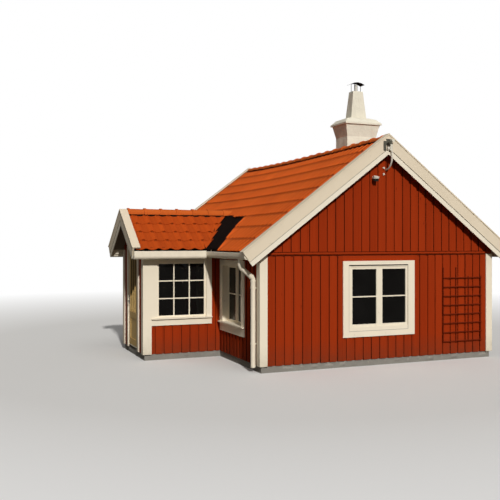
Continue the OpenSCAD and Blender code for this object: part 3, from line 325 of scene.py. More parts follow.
front_low, front_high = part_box("front_wall")
wall_left, wall_right, front_y, back_y = front_low.x, front_high.x, front_low.y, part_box("back_wall")[1].y
ridge_x, body_width = (wall_left + wall_right) / 2, wall_right - wall_left
porch_near, porch_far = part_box("porch_near_wall")[0].y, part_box("porch_far_wall")[1].y
plinth_left, corner_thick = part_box("plinth")[0].x, 0.022
inset = plinth_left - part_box("porch_corner_boards")[0].x - corner_thick
left_x, right_x, near_y, far_y = wall_left + inset, wall_right - inset, front_y + inset, back_y - inset
stones = np.concatenate([
    stone_row((left_x, near_y, 0), to_right, -to_back, body_width - 2 * inset),
    stone_row((right_x, near_y, 0), to_back, to_right, back_y - front_y - 2 * inset),
    stone_row((left_x, far_y, 0), to_right, to_back, body_width - 2 * inset),
    stone_row((left_x, near_y, 0), to_back, -to_right, porch_near - front_y),
    stone_row((left_x, porch_far - inset, 0), to_back, -to_right, back_y - porch_far),
    stone_row((plinth_left, porch_near + inset, 0), to_right, -to_back, wall_left - plinth_left),
    stone_row((plinth_left, porch_far - inset, 0), to_right, to_back, wall_left - plinth_left),
    stone_row((plinth_left, porch_near + inset, 0), to_back, -to_right, porch_far - porch_near - 2 * inset)])

field_stone = Finish("field_stone", Roughness=0.9, Specular_IOR_Level=0.2)
speck = field_stone.noise(60.0, detail=4.0, rough=0.7)
cloud = field_stone.noise(7.0)
tone = field_stone.attribute("tone")
lichen = field_stone.noise(16.0, detail=5.0, rough=0.65).above(0.62, 0.05)
grey = field_stone.blend((0.15, 0.135, 0.12), (0.36, 0.33, 0.29), tone * 0.6 + cloud * 0.25 + speck * 0.25)
field_stone.finish(field_stone.blend(grey, (0.38, 0.38, 0.27), lichen * 0.55), height=speck + cloud * 3.0,
                   depth=0.004)
make_piece("plinth_stones", stones, field_stone.material, "stone", smooth=60, weld=1e-5, ends=False,
           tone=rng.uniform(0, 1, len(stones)))

mortar = Finish("lime_mortar", Roughness=0.95, Specular_IOR_Level=0.2)
grit = mortar.noise(90.0, detail=4.0, rough=0.7)
stain = mortar.noise(5.0)
lime = mortar.blend((0.17, 0.155, 0.135), (0.34, 0.32, 0.28), grit * 0.5 + stain * 0.5)
repaint(mortar.finish(lime, height=grit + stain, depth=0.004), "plinth")

# Floors
# Scrubbed pine boards 120 mm wide, nailed to the joists along the body and across the porch, each of its own
# shade, with a dark seam between them.

floor_board = 0.12
pine = Finish("pine_floor", Roughness=0.6)
row_of = pine.axis("X") * (1 / floor_board)
seam = pine.node("ShaderNodeMath", {"operation": "PINGPONG"}, {0: row_of, 1: 0.5}).above(0.03, 0.02)
grain = pine.noise(9.0, (14.0, 0.6, 1.0), detail=5.0, rough=0.6, wobble=0.4)
number = pine.node("ShaderNodeMath", {"operation": "FLOOR"}, {0: row_of + 0.5})
plank = pine.node("ShaderNodeTexWhiteNoise", {"noise_dimensions": "1D"}, {"W": number})
wood = pine.blend((0.33, 0.21, 0.11), (0.56, 0.40, 0.24), grain * 0.7 + plank * 0.3)
repaint(pine.finish(pine.shade(wood, seam * 0.8 + 0.2), height=seam * 3.0 + grain, depth=0.002),
        "floor", "porch_floor")

# Boarded walls
# Sawn upright boards in two layers on a timber frame: between the outer boards the under boards lie 18 mm
# back, with a near-black strip along one edge, painted shade for the open joint there. They carry an earth
# red distemper, matt and streaked along the grain.

board_pitch, board_gap, board_thick = 0.182, 0.052, 0.022
board_step, board_ease, sharp_ease = 0.018, 0.0025, 0.0005
board_uneven, joint_back, joint_thick, joint_short = 0.0015, 0.007, 0.014, 0.012
plain_back, plain_thick, plain_ease = 0.001, 0.020, 0.0015
hair, least_board, least_strip, least_joint, corner_clear = 1e-4, 0.008, 0.006, 0.02, 0.012
joint_shade_tone, under_tone, plain_tone, ledge_tone = -1.0, 0.45, 0.9, 0.8

red_paint = Finish("earth_red_paint", Roughness=0.90, Specular_IOR_Level=0.06)
tone = red_paint.attribute("tone")
streak = red_paint.noise(5.0, (9.0, 9.0, 0.35), detail=5.0, rough=0.62, wobble=0.3)
fibre = red_paint.noise(60.0, (5.0, 5.0, 0.22), rough=0.6)
cloud = red_paint.noise(1.3, (1.0, 1.0, 0.7), rough=0.55)
knots = 1 - red_paint.cells(3.1, (1.9, 1.9, 0.62)).above(0.055, 0.03)
red = red_paint.blend((0.215, 0.018, 0.0020), (0.400, 0.041, 0.0055),
                      streak * 0.45 + tone * 0.38 + cloud * 0.05 + 0.06)
red = red_paint.blend(red, (0.13, 0.012, 0.003), knots * 0.65)
foot_splash = (1 - red_paint.axis("Z").above(0.33, 0.22)) * red_paint.noise(9.0, detail=4.0)
red = red_paint.blend(red, (0.10, 0.035, 0.018), foot_splash * 0.75)
# Where tone is under -0.5 the red turns near black: painted shade for each open joint and for the strips
# above and below the gable ledge.
red = red_paint.blend((0.045, 0.007, 0.002), red, tone.above(-0.5, 0.2))
red_paint.finish(red, 0.80 + fibre * 0.18, fibre * 0.5 + streak * 0.5 - knots * 0.3, depth=0.0014)


def board_points(rows, face, thick, ease=sharp_ease):
    """Upright boards from rows of left, right, foot, left head, right head. Across a board the outline runs
    from its back over the two eased front edges to its back again; face is how far its front stands out.
    boards x 2 x 6 x 3."""
    left, right, foot, head_left, head_right = (rows[:, i:i + 1] for i in range(5))
    face = face + np.zeros_like(left)
    across = np.hstack([left, left, left + ease, right - ease, right, right])
    out = np.hstack([face - thick, face - ease, face, face, face - ease, face - thick])
    head = head_left + (across - left) / (right - left) * (head_right - head_left)
    low = np.stack([across, out, np.broadcast_to(foot, across.shape)], -1)
    return np.stack([low, np.stack([across, out, head], -1)], 1)


def cut_round(rows, left, right, foot, head):
    """Takes an opening out of rows of boards: boards are slit at its two sides, and those between are cut off
    below and above it."""
    for edge in (left, right):
        crossing = (rows[:, 0] < edge - hair) & (rows[:, 1] > edge + hair)
        share = (edge - rows[crossing, 0]) / (rows[crossing, 1] - rows[crossing, 0])
        at = rows[crossing, 3] + share * (rows[crossing, 4] - rows[crossing, 3])
        one, two = rows[crossing].copy(), rows[crossing].copy()
        one[:, 1], one[:, 4], two[:, 0], two[:, 3] = edge, at, edge, at
        rows = np.vstack([rows[~crossing], one, two])
    between = (rows[:, 0] > left - 10 * hair) & (rows[:, 1] < right + 10 * hair)
    below, above = rows[between].copy(), rows[between].copy()
    below[:, 3:] = np.minimum(below[:, 3:], foot)
    above[:, 2] = np.maximum(above[:, 2], head)
    rows = np.vstack([rows[~between], below, above])
    return rows[(rows[:, 3:].min(1) - rows[:, 2] > least_board) & (rows[:, 1] - rows[:, 0] > least_strip)]


def boarding(length, foot, head_at, openings=(), offset=0.0):
    """Rows of boards over a wall of a length, each one a little wider or narrower than the next. head_at
    gives the height of the wall's top at a place along it."""
    left = np.arange(offset - board_pitch, length, board_pitch)
    left = left + rng.uniform(-0.005, 0.005, len(left))
    right = left + board_pitch - board_gap + rng.uniform(-0.008, 0.008, len(left))
    left, right = np.clip(left, 0, length), np.clip(right, 0, length)
    rows = np.stack([left, right, np.full(len(left), foot), head_at(left), head_at(right)], 1)
    rows = rows[rows[:, 1] - rows[:, 0] > 2 * least_strip]
    for opening in openings:
        rows = cut_round(rows, *opening)
    return rows


def open_joint_shades(rows):
    """The open joint along each board's left edge, painted as a near-black strip of shade 3 to 10 mm wide
    that ends 12 mm under the board's own head."""
    joint_shades = rows[rows[:, 0] > corner_clear].copy()
    joint_shades[:, 1] = joint_shades[:, 0]
    joint_shades[:, 0] -= rng.uniform(0.003, 0.010, len(joint_shades))
    joint_shades[:, 3:] = joint_shades[:, 3:4] - joint_short
    return joint_shades[joint_shades[:, 3] - joint_shades[:, 2] > least_joint]


def core_rows(length, foot, head_at, splits, openings=()):
    """The wall behind the boards as a few wide upright slabs, cut at splits and round the openings. Their
    heads are taken just inside their edges."""
    edges = np.array([0.0, *splits, length])
    rows = np.stack([edges[:-1], edges[1:], np.full(len(edges) - 1, foot),
                     head_at(edges[:-1] + hair / 1000), head_at(edges[1:] - hair / 1000)], 1)
    for opening in openings:
        rows = cut_round(rows, *opening)
    return rows


def board_wall(name, corner, along, out, length, foot, top, core_top, thick, splits=(), openings=(),
               offset=0.0, plain=()):
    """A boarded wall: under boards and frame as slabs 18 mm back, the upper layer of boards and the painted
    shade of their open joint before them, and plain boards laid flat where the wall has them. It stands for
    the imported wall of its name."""
    rows = boarding(length, foot, top, openings, offset)
    for patch in plain:
        rows = cut_round(rows, *patch)
    joint_shades, slabs = open_joint_shades(rows), core_rows(length, foot, core_top, splits, openings)
    patches = np.array([[left, right, low, high, high] for left, right, low, high in plain]).reshape(-1, 5)
    points = np.concatenate([
        board_points(rows, rng.uniform(-board_uneven, 0.0, (len(rows), 1)), board_thick, board_ease),
        board_points(joint_shades, -joint_back, joint_thick),
        board_points(slabs, -board_step, thick - board_step),
        board_points(patches, -plain_back, plain_thick, plain_ease)])
    tones = np.concatenate([rng.uniform(0.25, 1.0, len(rows)), np.full(len(joint_shades), joint_shade_tone),
                            np.full(len(slabs), under_tone), np.full(len(patches), plain_tone)])
    make_piece(name + "_boards", laid_at(points, corner, along, out, to_top), red_paint.material, "red_paint",
               stands_for=[name], tone=tones)


def flat(height):
    """The top of a wall under the eaves: one height all along it."""
    return lambda at: np.full(np.shape(at), height)


def peaked(eave, half, slope):
    """The top of a gable wall: it rises with the roof's slope from the eave to the wall's middle."""
    return lambda at: eave + (half - np.abs(at - half)) * slope


wall_foot, side_top, wall_thick = front_low.z, 2.315, 0.150
roof_pitch = math.radians(36.8)
roof_slope = math.tan(roof_pitch)
gable_top = peaked(side_top, body_width / 2, roof_slope)
band_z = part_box("front_gable_boarding")[0].z
board_top = band_z - 0.014
window_foot, window_head, casing_side, casing_top = 0.670, 1.900, 0.130, 1.965
gable_window_shift, gable_window_half = 0.095, 0.660
side_window_place, side_window_half = 1.405, 0.535

for wall, y, side in (("front_wall", front_y, -1), ("back_wall", back_y, 1)):
    middle = body_width / 2 + side * gable_window_shift
    left, right = middle - gable_window_half, middle + gable_window_half
    board_wall(wall, (wall_left, y, 0), to_right, side * to_back, body_width, wall_foot, flat(board_top),
               gable_top, wall_thick, [body_width / 2], [(left, right, window_foot, window_head)],
               offset=0.115, plain=[(left - casing_side, right + casing_side, casing_top, board_top)])

for wall, x, side in (("right_wall", wall_right, 1), ("left_wall_front", wall_left, -1),
                      ("left_wall_rear", wall_left, -1)):
    near, far = (corner.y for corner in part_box(wall))
    windows = [(middle - near - side_window_half, middle - near + side_window_half, window_foot, window_head)
               for middle in (front_y + side_window_place, back_y - side_window_place) if near < middle < far]
    board_wall(wall, (x, near, 0), to_back, side * to_right, far - near, wall_foot, flat(side_top),
               flat(side_top), wall_thick, openings=windows)

porch_top, porch_thick, porch_window = 2.270, 0.120, (0.243, 1.318, 0.808, 1.968)
porch_low, porch_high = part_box("porch_near_wall")
for wall, y, side in (("porch_near_wall", porch_near, -1), ("porch_far_wall", porch_far, 1)):
    board_wall(wall, (porch_low.x, y, 0), to_right, side * to_back, porch_high.x - porch_low.x, wall_foot,
               flat(porch_top), flat(porch_top), porch_thick, openings=[porch_window], offset=0.05)

porch_pitch = math.radians(33.7)
porch_slope = math.tan(porch_pitch)
gable_low, gable_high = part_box("porch_gable")
gable_half = (gable_high.y - gable_low.y) / 2
porch_gable_top = peaked(porch_top + porch_thick * porch_slope, gable_half, porch_slope)
board_wall("porch_gable", (gable_low.x, gable_low.y, 0), to_back, -to_right, 2 * gable_half, gable_low.z,
           porch_gable_top, porch_gable_top, porch_thick, [gable_half])
repaint(red_paint.material, "inner_door_lintel", "porch_front_piers")

ledge_foot, ledge_head, field_foot = band_z + 0.018, band_z + 0.050, band_z + 0.062
field_face, field_thick, field_joint, field_joint_thick, under_face = 0.022, 0.019, 0.015, 0.012, 0.004
ledge_face, ledge_ease = 0.021, 0.004
# The two strips by the ledge are near black, painted shade under the ledge and under the upper boards' feet.
ledge_shade_faces, ledge_shade_thicks = np.array([[-0.002], [0.010]]), np.array([[0.014], [0.008]])


def gable_field(name, y, side, node):
    """The upper gable: boards like the lower ones on thin under boards, a drip ledge along their feet, and a
    near-black strip above and below the ledge, painted shade under the boards' feet and under the ledge."""
    rows = boarding(body_width, field_foot, gable_top, offset=0.062)
    faces = rng.uniform(field_face - board_uneven, field_face, (len(rows), 1))
    joint_shades = open_joint_shades(rows)
    slabs = core_rows(body_width, band_z + under_face, gable_top, [body_width / 2])
    ledge = np.array([[0.0, body_width, ledge_foot, ledge_head, ledge_head]])
    ledge_shades = np.array([[0.0, body_width, board_top, ledge_foot, ledge_foot],
                      [0.0, body_width, ledge_head, field_foot, field_foot]])
    points = np.concatenate([
        board_points(rows, faces, field_thick, board_ease),
        board_points(joint_shades, field_joint, field_joint_thick), board_points(slabs, under_face, under_face),
        board_points(ledge, ledge_face, ledge_face, ledge_ease),
        board_points(ledge_shades, ledge_shade_faces, ledge_shade_thicks)])
    tones = np.concatenate([rng.uniform(0.15, 0.95, len(rows)), np.full(len(joint_shades), joint_shade_tone),
                            np.full(len(slabs), under_tone), [ledge_tone, joint_shade_tone, joint_shade_tone]])
    make_piece(name, laid_at(points, (wall_left, y, 0), to_right, side * to_back, to_top), red_paint.material,
               "red_paint", stands_for=[node], tone=tones)


gable_field("front_gable_boards", front_y, -1, "front_gable_boarding")
gable_field("back_gable_boards", back_y, 1, "back_gable_boarding")

# Roof decks
# Sawn boards laid along the eaves on the rafters. The old ridge has settled a few centimetres between
# the gables, so the decks, the tiles and the ridge tiles all hang a little there.

deck_thick, tile_top = 0.045, 0.112
main_over, porch_over = 0.230, 0.150
sag_depth, sag_reach, middle_y = 0.052, 3.50, (front_y + back_y) / 2
porch_y, porch_half = (porch_near + porch_far) / 2, (porch_far - porch_near) / 2
main_head = side_top + body_width / 2 * roof_slope
porch_head = porch_top + porch_half * porch_slope
roof_near, roof_far = (corner.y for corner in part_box("roof_deck_right"))
porch_roof_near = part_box("porch_deck")[0].x


def settle(points):
    """Lowers points of the main roof: most on the ridge a little behind its middle, nothing at the walls and
    verges."""
    down = np.clip(1 - np.abs(points[..., 0] - ridge_x) / (body_width / 2), 0, 1)
    t = np.clip((points[..., 1] - middle_y) / sag_reach, -1, 1)
    sunk = points.copy()
    sunk[..., 2] -= sag_depth * down * (1 - t ** 2) * (1 + 0.35 * t)
    return sunk


def roof_side(head, run, level, pitch):
    """The place of a roof slope's rafters: the near end of the head line, and unit axes along it, down the
    slope and off it. level is the way down seen from above."""
    down = level * math.cos(pitch) - to_top * math.sin(pitch)
    return head, run, down, level * math.sin(pitch) + to_top * math.cos(pitch)


main_sides, porch_sides = {}, {}
main_start, porch_start = (ridge_x, roof_near, main_head), (porch_roof_near, porch_y, porch_head)
for side in (-1, 1):
    main_sides[side] = roof_side(main_start, to_back, side * to_right, roof_pitch)
    porch_sides[side] = roof_side(porch_start, to_right, side * to_back, porch_pitch)

deck_wood = Finish("deck_boards", Roughness=0.85)
grain = deck_wood.noise(7.0, (9.0, 0.5, 9.0), detail=5.0, rough=0.6, wobble=0.3)
tone = deck_wood.attribute("tone")
sawn = deck_wood.blend((0.14, 0.10, 0.07), (0.34, 0.25, 0.17), grain * 0.6 + tone * 0.4)
deck_wood.finish(sawn, height=grain, depth=0.002)

deck_rows, deck_steps, deck_gap = 23, 16, 0.003


def deck_boards(side):
    """Deck boards as bars along the ridge, from the ridge to the eaves, each in a few stretches so that they
    can sag. Along a bar the section is a plain rectangle."""
    edges = np.linspace(0.0, (body_width / 2 + main_over) / math.cos(roof_pitch), deck_rows + 1)
    low, high = edges[:-1] + deck_gap / 2, edges[1:] - deck_gap / 2
    points = np.zeros((deck_rows, deck_steps, 4, 3))
    points[..., 0] = np.linspace(0, roof_far - roof_near, deck_steps)[:, None]
    points[..., 1] = np.stack([low, low, high, high], 1)[:, None]
    points[..., 2] = [0.0, deck_thick, deck_thick, 0.0]
    return settle(laid_at(points, *main_sides[side]))


for side, word in ((1, "right"), (-1, "left")):
    make_piece("deck_boards_" + word, deck_boards(side), deck_wood.material, "deck_wood",
               stands_for=["roof_deck_" + word], tone=rng.uniform(0, 1, deck_rows))
repaint(deck_wood.material, "porch_deck")

# Tiles
# Machine pressed clay pantiles, unglazed orange. The main roof has double rolls 185 mm apart in courses of
# 400 mm, the porch has single rolls with wide pans. Each tile's tail lies on the one below it.

main_tile = {"cover": 0.370, "rolls": 2, "steps": 17, "course": 0.400, "top_gap": 0.075, "tile_step": 0.025,
             "amplitude": 0.026, "crest": 2.0, "flat_step": 0.05}
porch_tile = {"cover": 0.245, "rolls": 1, "steps": 11, "course": 0.310, "top_gap": 0.070, "tile_step": 0.024,
              "amplitude": 0.042, "crest": 1.7, "flat_step": 0.40}
tile_thick, tile_lap, tile_tilt, tile_bed, least_wide, least_long = 0.011, 0.06, 0.004, 0.003, 0.025, 0.06
fascia_thick, tail_over = 0.022, 0.030


def fired_clay(name, dark, light, foot, black):
    """Unglazed clay: each tile fired a little differently, cloudy with dust, with a few sooty specks of
    lichen. foot is how much darker it is beside the rolls, soil and painted shade at the foot of each roll,
    and black how dark just under the next tail, painted shade in the hollow there."""
    clay = Finish(name, Roughness=0.85, Specular_IOR_Level=0.12)
    tone = clay.attribute("tone")
    dust = clay.noise(3.0, detail=4.0, rough=0.6)
    sand = clay.noise(140.0, detail=2.0)
    patch = clay.noise(1.1, detail=4.0, rough=0.6)
    soot = clay.noise(24.0, detail=5.0, rough=0.7).above(0.72, 0.05)
    orange = clay.blend(dark, light, tone * 0.55 + dust * 0.30 + patch * 0.30 - 0.06)
    orange = clay.blend(orange, (0.16, 0.06, 0.03), soot * 0.5)
    roll = clay.attribute("roll")
    # Painted shade: the tiles darken beside the rolls, where there is also soil, and go near black under each
    # next tail.
    painted_mouth_shade = clay.attribute("fall").above(0.865, 0.03) * roll.above(0.74, 0.10)
    orange = clay.shade(orange, (1 - (1 - roll.above(0.36, 0.16)) * foot) * (1 - painted_mouth_shade * black))
    return clay.finish(orange, 0.76 + dust * 0.2, sand * 0.35 + dust, depth=0.0015)


# The last two numbers set the soil and painted shade beside the rolls, and the painted shade under each next
# tail.
main_clay = fired_clay("main_roof_clay", (0.70, 0.106, 0.012), (0.98, 0.175, 0.022), 0.62, 0.96)
porch_clay = fired_clay("porch_roof_clay", (0.37, 0.048, 0.0035), (0.57, 0.082, 0.0070), 0.12, 0.45)


def tile_rows(reach, last, clamp, cover, rolls, steps, course, top_gap, tile_step, amplitude, crest,
              flat_step):
    """Tiles of one slope as an array of tiles x across x 4 x 3, in (along, down, up) of the slope. Across, a
    tile is a cosine wave raised to the power crest. Lengthwise it rises to its tail by tile_step on its rolls
    and by a share of it, flat_step, in its pans. The outline runs tail below, tail above, head above, head
    below; clamp keeps points before a cut. The wave and the share of the fall come back too, for the soil and
    the painted shade."""
    columns, courses = int(math.ceil(last / cover)), int(math.ceil(reach / course))
    column, line = (grid.ravel() for grid in np.meshgrid(np.arange(columns), np.arange(courses)))
    count = len(column)
    tail = reach - line * course + rng.uniform(-0.004, 0.004, count)
    head = np.maximum(tail - course - tile_lap, top_gap)
    side = (column[:, None] + np.linspace(-0.02, 1.05, steps)) * cover
    side = side + rng.uniform(-0.003, 0.003, (count, 1))
    along = np.repeat(side[:, :, None], 4, 2)
    down = np.repeat(np.stack([tail, tail, head, head], 1)[:, None, :], steps, 1)
    along = along + (down - tail[:, None, None]) * rng.uniform(-0.006, 0.006, (count, 1, 1))
    along = np.clip(along, 0.0, last)
    if clamp is not None:
        along = clamp(along, down)
    keep = (np.ptp(along, axis=1).max(1) > least_wide) & (tail - head > least_long)
    along, down, column, tail = along[keep], down[keep], column[keep], tail[keep]
    share = along / cover - column[:, None, None]
    wave = (0.5 + 0.5 * np.cos(2 * np.pi * rolls * share)) ** crest
    fall = (tail[:, None, None] - down) / course
    skin = np.array([-1.0, 0.0, 0.0, -1.0]) * tile_thick * (0.45 + 0.55 * wave)
    loose = rng.uniform(-0.001, 0.002, (len(along), 1, 1)) * (1 - np.clip(fall, 0, 1))
    high = (tile_top - amplitude + wave * amplitude
            - fall * tile_step * (flat_step + (1 - flat_step) * wave ** 4)
            + tile_tilt * (share - 0.5) + skin + loose - tile_bed)
    return np.stack([along, down, high], -1), wave, fall


def lay_tiles(name, node, clay, tiles, wave, fall):
    """Tiles at their place as one piece, each fired to a tone of its own."""
    tones = np.clip(rng.normal(0.5, 0.17, len(tiles)), 0, 1)
    make_piece(name, tiles, clay, "clay_tile", stands_for=[node], smooth=38, weld=2e-5, tone=tones, roll=wave,
               fall=fall)


valley_head, valley_gap = 1.900, 0.565


def valley_line(away):
    """How far from the porch's middle the tile planes of both roofs meet, at a distance from the main
    ridge."""
    height = main_head - away * roof_slope + tile_top / math.cos(roof_pitch)
    return porch_half + (porch_top + tile_top / math.cos(porch_pitch) - height) / porch_slope


def clear_valley(along, down):
    """Keeps the main tiles out of the valleys: below the valley's head, points of a tile that lie between the
    two valley edges move onto the edge on the tile's own side, each tile cut a little longer or shorter."""
    away = np.maximum(down * math.cos(roof_pitch), valley_head)
    uneven = rng.uniform(-0.03, 0.06, (len(along), 1, 1))
    half = np.maximum(valley_line(away) + valley_gap + uneven, 0.0)
    place = along + roof_near - porch_y
    side = np.where(place.mean((1, 2), keepdims=True) < 0, -1.0, 1.0)
    cut = (away.max((1, 2), keepdims=True) > valley_head + 0.05) & (side * place < half)
    return np.where(cut, side * half, place) + porch_y - roof_near


tile_reach = (body_width / 2 + main_over + fascia_thick + tail_over) / math.cos(roof_pitch)
for side, word, clamp in ((1, "right", None), (-1, "left", clear_valley)):
    tiles, wave, fall = tile_rows(tile_reach, roof_far - roof_near, clamp, **main_tile)
    tiles = settle(laid_at(tiles, *main_sides[side]))
    lay_tiles("pantiles_" + word, "roof_tiles_" + word, main_clay, tiles, wave, fall)

porch_reach = (porch_half + porch_over + fascia_thick + tail_over) / math.cos(porch_pitch)
metal_clear = 0.115
main_clearance = deck_thick + metal_clear


def main_roof_x(height, rise):
    """Where along X a plane that lies rise above the main roof's left rafters has a height."""
    return ridge_x - (main_head + rise / math.cos(roof_pitch) - height) / roof_slope


def clear_main_roof(along, down):
    """Cuts the porch tiles at the black valley metal, 115 mm above the main roof's deck, a little
    unevenly."""
    height = porch_head - down * math.sin(porch_pitch) + tile_top * math.cos(porch_pitch)
    uneven = (rng.uniform(-0.035, 0.005, (len(along), 1, 1))
              + 0.20 * (1 - down.mean((1, 2), keepdims=True) / porch_reach))
    return np.minimum(along, main_roof_x(height, main_clearance) - uneven - porch_roof_near)


halves = []
for side in (-1, 1):
    tiles, wave, fall = tile_rows(porch_reach, ridge_x - porch_roof_near, clear_main_roof, **porch_tile)
    halves.append((laid_at(tiles, *porch_sides[side]), wave, fall))
lay_tiles("porch_pantiles", "porch_tiles", porch_clay, *(np.concatenate(parts) for parts in zip(*halves)))

# Ridge tiles
# Round clay caps, each with a raised collar at its wide end that lies over the narrow end of the next one.
# They ride on a tarred ridge batten, near black, which shows as a black line between the caps and the top
# courses; its black is also painted shade for the gap under the caps.

ridge_clay = fired_clay("ridge_clay", (0.42, 0.080, 0.010), (0.62, 0.128, 0.020), 0.0, 0.0)
cap_radius, cap_thick, collar, collar_end, cap_lap = 0.110, 0.015, 0.048, 0.054, 0.02
cap_steps, batten_steps, batten_start, batten_foot = 17, 12, 0.01, -0.10
main_cap_cover, porch_cap_cover, main_cap_arc, porch_cap_arc = 0.385, 0.330, 82, 104


def ridge_caps(length, cover, half_arc):
    """A run of ridge tiles as pieces x across x outline x 3, along +Y from 0. Across is an arc, which goes on
    as two upright legs where half of it is over 90 degrees. The outline runs from the collar down the taper,
    and back inside."""
    count = int(round(length / cover))
    cover = length / count
    angle = np.radians(np.linspace(-half_arc, half_arc, cap_steps))
    leg = np.maximum(np.abs(angle) - math.pi / 2, 0)[None, :, None]
    turn = np.clip(angle, -math.pi / 2, math.pi / 2)[None, :, None]
    start = (np.arange(count) * cover)[:, None, None]
    place = np.tile([0.0, collar, collar_end, cover + cap_lap, cover + cap_lap, 0.0], (cap_steps, 1))
    inward = np.array([0.0, 0.001, 0.015, 0.020, 0.020 + cap_thick, cap_thick + 0.004])
    along = np.clip(start + place + rng.uniform(-0.006, 0.006, (count, 1, 1)), 0.0, length)
    wide = cap_radius - np.tile(inward, (cap_steps, 1)) - rng.uniform(0.0, 0.003, (count, 1, 1))
    side = wide * np.sin(turn) + rng.uniform(-0.003, 0.003, (count, 1, 1))
    high = wide * (np.cos(turn) - leg) - rng.uniform(0.0, 0.005, (count, 1, 1))
    return np.stack([side, along, high], -1)


def batten_points(length, half, head):
    """The ridge batten as one bar along +Y from 10 mm on, in a few stretches, a plain rectangle across."""
    points = np.zeros((1, batten_steps, 4, 3))
    points[..., 0] = [-half, -half, half, half]
    points[..., 1] = np.linspace(0.0, length, batten_steps)[:, None] + batten_start
    points[..., 2] = [batten_foot, head, head, batten_foot]
    return points


def mottled(name, dark, light, cloud, gloss=None, depth=None, **shader):
    """A coat clouded between two colours by one noise, whose settings are cloud. gloss is its least roughness
    and how much the clouds add to it, depth how deep they stand in metres."""
    coat = Finish(name, **shader)
    clouds = coat.noise(**cloud)
    colour = coat.blend(dark, light, clouds)
    rough = None if gloss is None else gloss[0] + clouds * gloss[1]
    return coat.finish(colour, rough, None if depth is None else clouds, depth)


# The batten's near black is tar and also painted shade for the gap under the ridge caps.
tar_and_shade_black = mottled("batten_tar_and_shade", (0.010, 0.006, 0.004), (0.030, 0.018, 0.012),
                 {"scale": 20.0, "detail": 4.0}, depth=0.002, Roughness=0.9, Specular_IOR_Level=0.1)


def lay_ridge(name, caps, batten):
    """The caps of one ridge, each fired to a tone of its own, and the batten under them."""
    make_piece(name + "_caps", caps, ridge_clay, "clay_tile", stands_for=[name + "_tiles"], smooth=38,
               tone=rng.uniform(0.35, 1.0, len(caps)))
    make_piece(name + "_batten", batten, tar_and_shade_black, "black_metal")


ridge_low, ridge_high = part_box("ridge_tiles")
ridge_length = ridge_high.y - ridge_low.y
ridge_centre = np.array([ridge_x, ridge_low.y, ridge_high.z - cap_radius])
lay_ridge("ridge", settle(ridge_caps(ridge_length, main_cap_cover, main_cap_arc) + ridge_centre),
          settle(batten_points(ridge_length - 2 * batten_start, 0.086, 0.022) + ridge_centre))
cap_low, cap_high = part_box("porch_ridge_tiles")
cap_length = cap_high.x - cap_low.x


def turn_to_porch(points):
    """Points along +Y turned to run along +X at the porch ridge, cut where they meet the main roof."""
    height = points[..., 2] + cap_high.z - cap_radius
    along = np.minimum(points[..., 1] + cap_low.x, main_roof_x(height, main_clearance) - 0.070)
    return np.stack([along, porch_y - points[..., 0], height], -1)


lay_ridge("porch_ridge", turn_to_porch(ridge_caps(cap_length + cap_lap, porch_cap_cover, porch_cap_arc)),
          turn_to_porch(batten_points(cap_length - 3 * batten_start, 0.070, 0.010)))

# Metal valleys
# Black painted sheet, folded into the valleys between the two roofs and nailed to the decks, dull with a
# little dust. Each valley has a leaf that reaches far under the porch tiles.

black_sheet = mottled("black_sheet", (0.004, 0.0025, 0.002), (0.011, 0.006, 0.005),
                      {"scale": 12.0, "detail": 4.0}, (0.75, 0.2), 0.002, Roughness=0.85,
                      Specular_IOR_Level=0.03)
repaint(black_sheet, "valley_flashing")
leaf_wide, sheet_thick = 0.75, 0.003


def valley_leaf(side):
    """The sheet's leaf on the porch deck, one thin bar from the ridge to the eave: its inner edge follows the
    line where the deck meets the main deck, and it reaches 0.75 m from there under the tiles."""
    down = np.array([[0.010], [porch_reach - 0.045]])
    height = porch_head - down * math.sin(porch_pitch) + deck_thick * math.cos(porch_pitch)
    points = np.zeros((2, 4, 3))
    inner = main_roof_x(height, deck_thick + 0.004) - porch_roof_near
    points[..., 0] = inner - leaf_wide * np.array([1, 1, 0, 0])
    points[..., 1] = down
    points[..., 2] = deck_thick + sheet_thick * np.array([0, 1, 1, 0])
    return laid_at(points, *porch_sides[side])


make_piece("valley_leaves", np.stack([valley_leaf(-1), valley_leaf(1)]), black_sheet, "black_metal")

# Verges
# Two bargeboards one over the other, planed and painted warm white, under a cap board. The lower board is
# paler from a later coat, and a dark strip of painted shade runs where the upper one ends over it.

main_lap, porch_lap, lap_shade, main_verge_over, porch_verge_over = 0.088, 0.053, 0.008, 0.414, 0.250
verge_colours = ((0.765, 0.655, 0.495), (0.690, 0.580, 0.425), (0.25, 1.0, 0.35))


def white_paint(name, colour, dark, grain, fresh=None):
    """Oil paint on planed wood: brush marks along grain, faint cloudy ageing and splashes near the ground.
    fresh gives the roof shaped line under which there is a later coat: an axis, the ridge's place on it, the
    slope of the line and its height under the ridge."""
    paint = Finish(name, Roughness=0.6, Specular_IOR_Level=0.25)
    brush = paint.noise(24.0, grain, detail=4.0, rough=0.6)
    age = paint.noise(1.7, detail=4.0, rough=0.6)
    crack = paint.noise(55.0, grain, detail=2.0).above(0.73, 0.03)
    shown = paint.blend(dark, colour, brush * 0.5 + age * 0.9 + 0.1)
    if fresh is not None:
        letter, middle, slope, height = fresh
        below = 1 - (paint.away_from(letter, middle) * slope + paint.axis("Z")).above(height, 0.003)
        shown = paint.blend(shown, (0.86, 0.785, 0.640), below * 0.85)
    splash = (1 - paint.axis("Z").above(0.30, 0.20)) * paint.noise(11.0, detail=4.0)
    shown = paint.blend(shown, (0.30, 0.25, 0.18), splash * 0.6 + crack * 0.25)
    return paint.finish(shown, 0.55 + brush * 0.2, brush - crack * 0.6, depth=0.0007)


